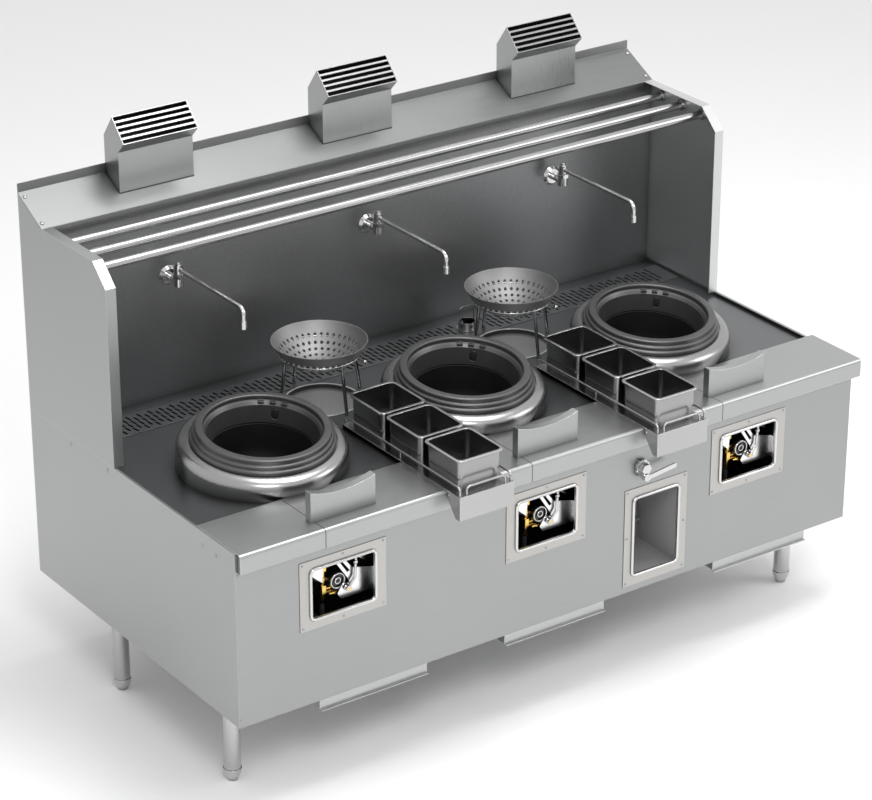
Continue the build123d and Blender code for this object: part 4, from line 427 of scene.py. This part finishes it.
# A bright ring and hub on the face of each regulator.
dials = bmesh.new()
dial_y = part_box("gas_regulators")[0][1]
for x in window_x:
    centre = (x + DIAL_RIGHT, dial_y + DIAL_OUT, WINDOW_LEVEL - DIAL_DOWN)
    ring_tube(dials, circle_points(*centre, DIAL_RING, 48), DIAL_RING_WIRE, 12)
    ring_tube(dials, circle_points(*centre, DIAL_HUB, 32), DIAL_HUB_WIRE, 10)
finished("regulator_rings", dials, "cabinet", bright_rim)


def bead(mesh, points, radius, around=8):
    """A round bead along an open line of points."""
    loops = []
    for number, point in enumerate(points):
        ahead = (points[min(number + 1, len(points) - 1)] - points[max(number - 1, 0)]).normalized()
        side = ahead.orthogonal().normalized()
        across = ahead.cross(side)
        loops.append([mesh.verts.new(point + radius * (math.cos(turn) * side + math.sin(turn) * across))
                      for turn in (2 * math.pi * step / around for step in range(around))])
    for one, two in zip(loops, loops[1:]):
        for step in range(around):
            mesh.faces.new((one[step - 1], one[step], two[step], two[step - 1]))
    mesh.faces.new(loops[0])
    mesh.faces.new(loops[-1])


# A dark bead where each riser stands on the sloped cap: a painted contact shadow at the riser's foot.
shade_black = metal("black_shade_paint", (0.012, 0.012, 0.012), 0.55, metallic=0.0, edge_highlight=0.1)
cap_front_y, cap_back_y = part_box("backsplash")[0][1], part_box("back_panel")[1][1]
riser_y, riser_back = cap_front_y + RISER_BEHIND_CAP, cap_back_y - RISER_BACK_GAP
foot_shades = bmesh.new()
for place in RISER_PLACES:
    left = cabinet_left + place * MM
    right = left + RISER_WIDTH
    corners = []
    for x, y in ((left, riser_back), (left, riser_y), (right, riser_y), (right, riser_back)):
        corners.append(Vector((x, y, CAP_LOW + CAP_RISE * (y - cap_front_y) / (cap_back_y - cap_front_y))))
    for one, two in zip(corners, corners[1:]):
        bead(foot_shades, [one, two], SHADE_BEAD_RADIUS)
finished("riser_foot_shade", foot_shades, "cabinet", shade_black)

# A black plate closes the ignition port of each cast ring: painted shade for the dark inside of the port.
up = Vector((0.0, -math.sin(RING_TILT), math.cos(RING_TILT)))
out = (Vector((1, 0, 0)) + Vector((0, math.cos(RING_TILT), math.sin(RING_TILT)))).normalized()
side = up.cross(out)
for number, place in enumerate(STATION_PLACES, start=1):
    top = Vector((cabinet_left + place * MM, panel_face + RING_BEHIND_PANEL, RING_TOP))
    middle = top - PORT_DROP * up + PORT_OUT * out
    port = bmesh.new()
    rings = []
    for depth, share in ((-0.0015, 0.97), (-0.0022, 0.80), (0.0015, 0.97)):
        ring = []
        for step in range(PORT_STEPS):
            turn = 2 * math.pi * step / PORT_STEPS
            across, rise = PORT_RADIUS * math.cos(turn), PORT_RADIUS * math.sin(turn)
            rise += PORT_STRAIGHT if rise >= 0 else -PORT_STRAIGHT
            ring.append(port.verts.new(middle + depth * out + share * (across * side + rise * up)))
        rings.append(ring)
    for one, two in ((rings[0], rings[1]), (rings[0], rings[2])):
        for step in range(PORT_STEPS):
            port.faces.new((one[step - 1], one[step], two[step], two[step - 1]))
    port.faces.new(rings[1])
    port.faces.new(rings[2])
    finished(f"port_plate_{number}", port, f"wok_ring_{number}", shade_black)


def islands(data):
    """The separate bodies of a mesh, each as a list of face numbers."""
    corners = [[tuple(round(value, 6) for value in data.vertices[vertex].co) for vertex in face.vertices]
               for face in data.polygons]
    faces_at = {}
    for face in data.polygons:
        for corner in corners[face.index]:
            faces_at.setdefault(corner, []).append(face.index)
    seen, groups = set(), []
    for face in data.polygons:
        if face.index in seen:
            continue
        group, waiting = [], [face.index]
        seen.add(face.index)
        while waiting:
            number = waiting.pop()
            group.append(number)
            for corner in corners[number]:
                for other in faces_at[corner]:
                    if other not in seen:
                        seen.add(other)
                        waiting.append(other)
        groups.append(group)
    return groups


def screw_head(mesh, base, out, radius, height):
    """A domed head with a hexagon recess, standing on its base."""
    side = out.orthogonal().normalized()
    across = out.cross(side)
    steps = 24
    profile = ((1.0, 0.0, 0), (1.0, 0.22, 0), (0.93, 0.55, 0), (0.78, 0.82, 0), (0.58, 0.98, 0),
               (0.46, 0.98, 1), (0.44, 0.30, 1))
    rings = []
    for share, level, six in profile:
        ring = []
        for step in range(steps):
            turn = 2 * math.pi * step / steps
            reach = radius * share
            if six:
                reach *= math.cos(math.pi / 6) / math.cos((turn % (math.pi / 3)) - math.pi / 6)
            ring.append(mesh.verts.new(base + reach * (math.cos(turn) * side + math.sin(turn) * across)
                                       + level * height * out))
        rings.append(ring)
    for low, high in zip(rings, rings[1:]):
        for step in range(steps):
            mesh.faces.new((low[step - 1], low[step], high[step], high[step - 1]))
    mesh.faces.new(rings[0])
    mesh.faces.new(rings[-1])


heads = bmesh.new()
screws = nodes["screws"].data
middle = Vector(tuple((low + high) / 2 for low, high in zip(cad_low, cad_high)))
for group in islands(screws):
    faces = [screws.polygons[number] for number in group]
    areas = {}
    for face in faces:
        key = tuple(round(value, 2) for value in face.normal)
        areas[key] = areas.get(key, 0.0) + face.area
    normal = Vector(max(areas, key=areas.get)).normalized()
    spots = [screws.vertices[vertex].co for face in faces for vertex in face.vertices]
    centre = sum(spots, Vector()) / len(spots)
    if normal.dot(centre - middle) < 0:
        normal = -normal
    levels = [normal.dot(spot) for spot in spots]
    height = max(levels) - min(levels)
    radius = max((spot - centre - normal * normal.dot(spot - centre)).length for spot in spots)
    base = centre + normal * (min(levels) - normal.dot(centre))
    screw_head(heads, base, normal, radius, height)
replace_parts(finished("screw_heads", heads, "cabinet", MATERIALS["screw_steel"]), "screws")


# ------------------------------------------------------------------ floor, light, camera
def stage_material(name, colour):
    """A plain diffuse stage colour."""
    material, _, _, shader = new_material(name)
    shader.inputs["Base Color"].default_value = (*colour, 1.0)
    shader.inputs["Roughness"].default_value = 0.9
    shader.inputs["Specular IOR Level"].default_value = 0.1
    return material


bpy.ops.mesh.primitive_plane_add(size=60.0, location=(0, 0, 0))
floor = bpy.context.object
floor.name = "floor"
floor.data.materials.append(stage_material("floor_paint", (0.90, 0.90, 0.90)))

world = bpy.data.worlds.new("studio")
bpy.context.scene.world = world
world.use_nodes = True
world_nodes, world_links = world.node_tree.nodes, world.node_tree.links
backdrop = world_nodes["Background"]
path = world_nodes.new("ShaderNodeLightPath")
shown = combine(world_nodes, world_links, "MAXIMUM", path.outputs["Is Camera Ray"],
                path.outputs["Is Glossy Ray"])
# The light from around is a little dimmer than the white that the camera and reflections see.
level = remap(world_nodes, world_links, shown, 0.75, 1.0, 0.0, 1.0)
backdrop.inputs["Color"].default_value = (1.0, 1.0, 1.0, 1.0)
world_links.new(level, backdrop.inputs["Strength"])


def soft_lamp(name, place, aim, size, power):
    """A square area lamp that looks at a point."""
    data = bpy.data.lights.new(name, "AREA")
    data.size = size
    data.energy = power
    lamp = bpy.data.objects.new(name, data)
    lamp.location = place
    lamp.rotation_euler = (Vector(aim) - Vector(place)).to_track_quat("-Z", "Y").to_euler()
    bpy.context.scene.collection.objects.link(lamp)
    return lamp


LAMP_AIM = (0, 0, 0.8)
soft_lamp("key", (-2.4, -4.2, 4.6), LAMP_AIM, size=1.6, power=105.0)
soft_lamp("fill", (4.0, -3.0, 3.5), LAMP_AIM, size=2.5, power=60.0)
soft_lamp("overhead", (0.6, -0.4, 5.2), LAMP_AIM, size=2.4, power=150.0)

camera_place = Vector((-4.8015, -6.6750, 4.5941))
camera_yaw, camera_pitch = math.radians(35.27), math.radians(25.07)
camera_data = bpy.data.cameras.new("camera")
camera_data.sensor_width = 36.0
camera_data.lens = 129.95
camera_data.clip_start, camera_data.clip_end = 0.1, 200.0
camera = bpy.data.objects.new("camera", camera_data)
camera.location = camera_place
look = Vector((math.sin(camera_yaw) * math.cos(camera_pitch), math.cos(camera_yaw) * math.cos(camera_pitch),
               -math.sin(camera_pitch)))
camera.rotation_euler = look.to_track_quat("-Z", "Y").to_euler()
bpy.context.scene.collection.objects.link(camera)
bpy.context.scene.camera = camera
bpy.context.scene.view_settings.view_transform = "Standard"
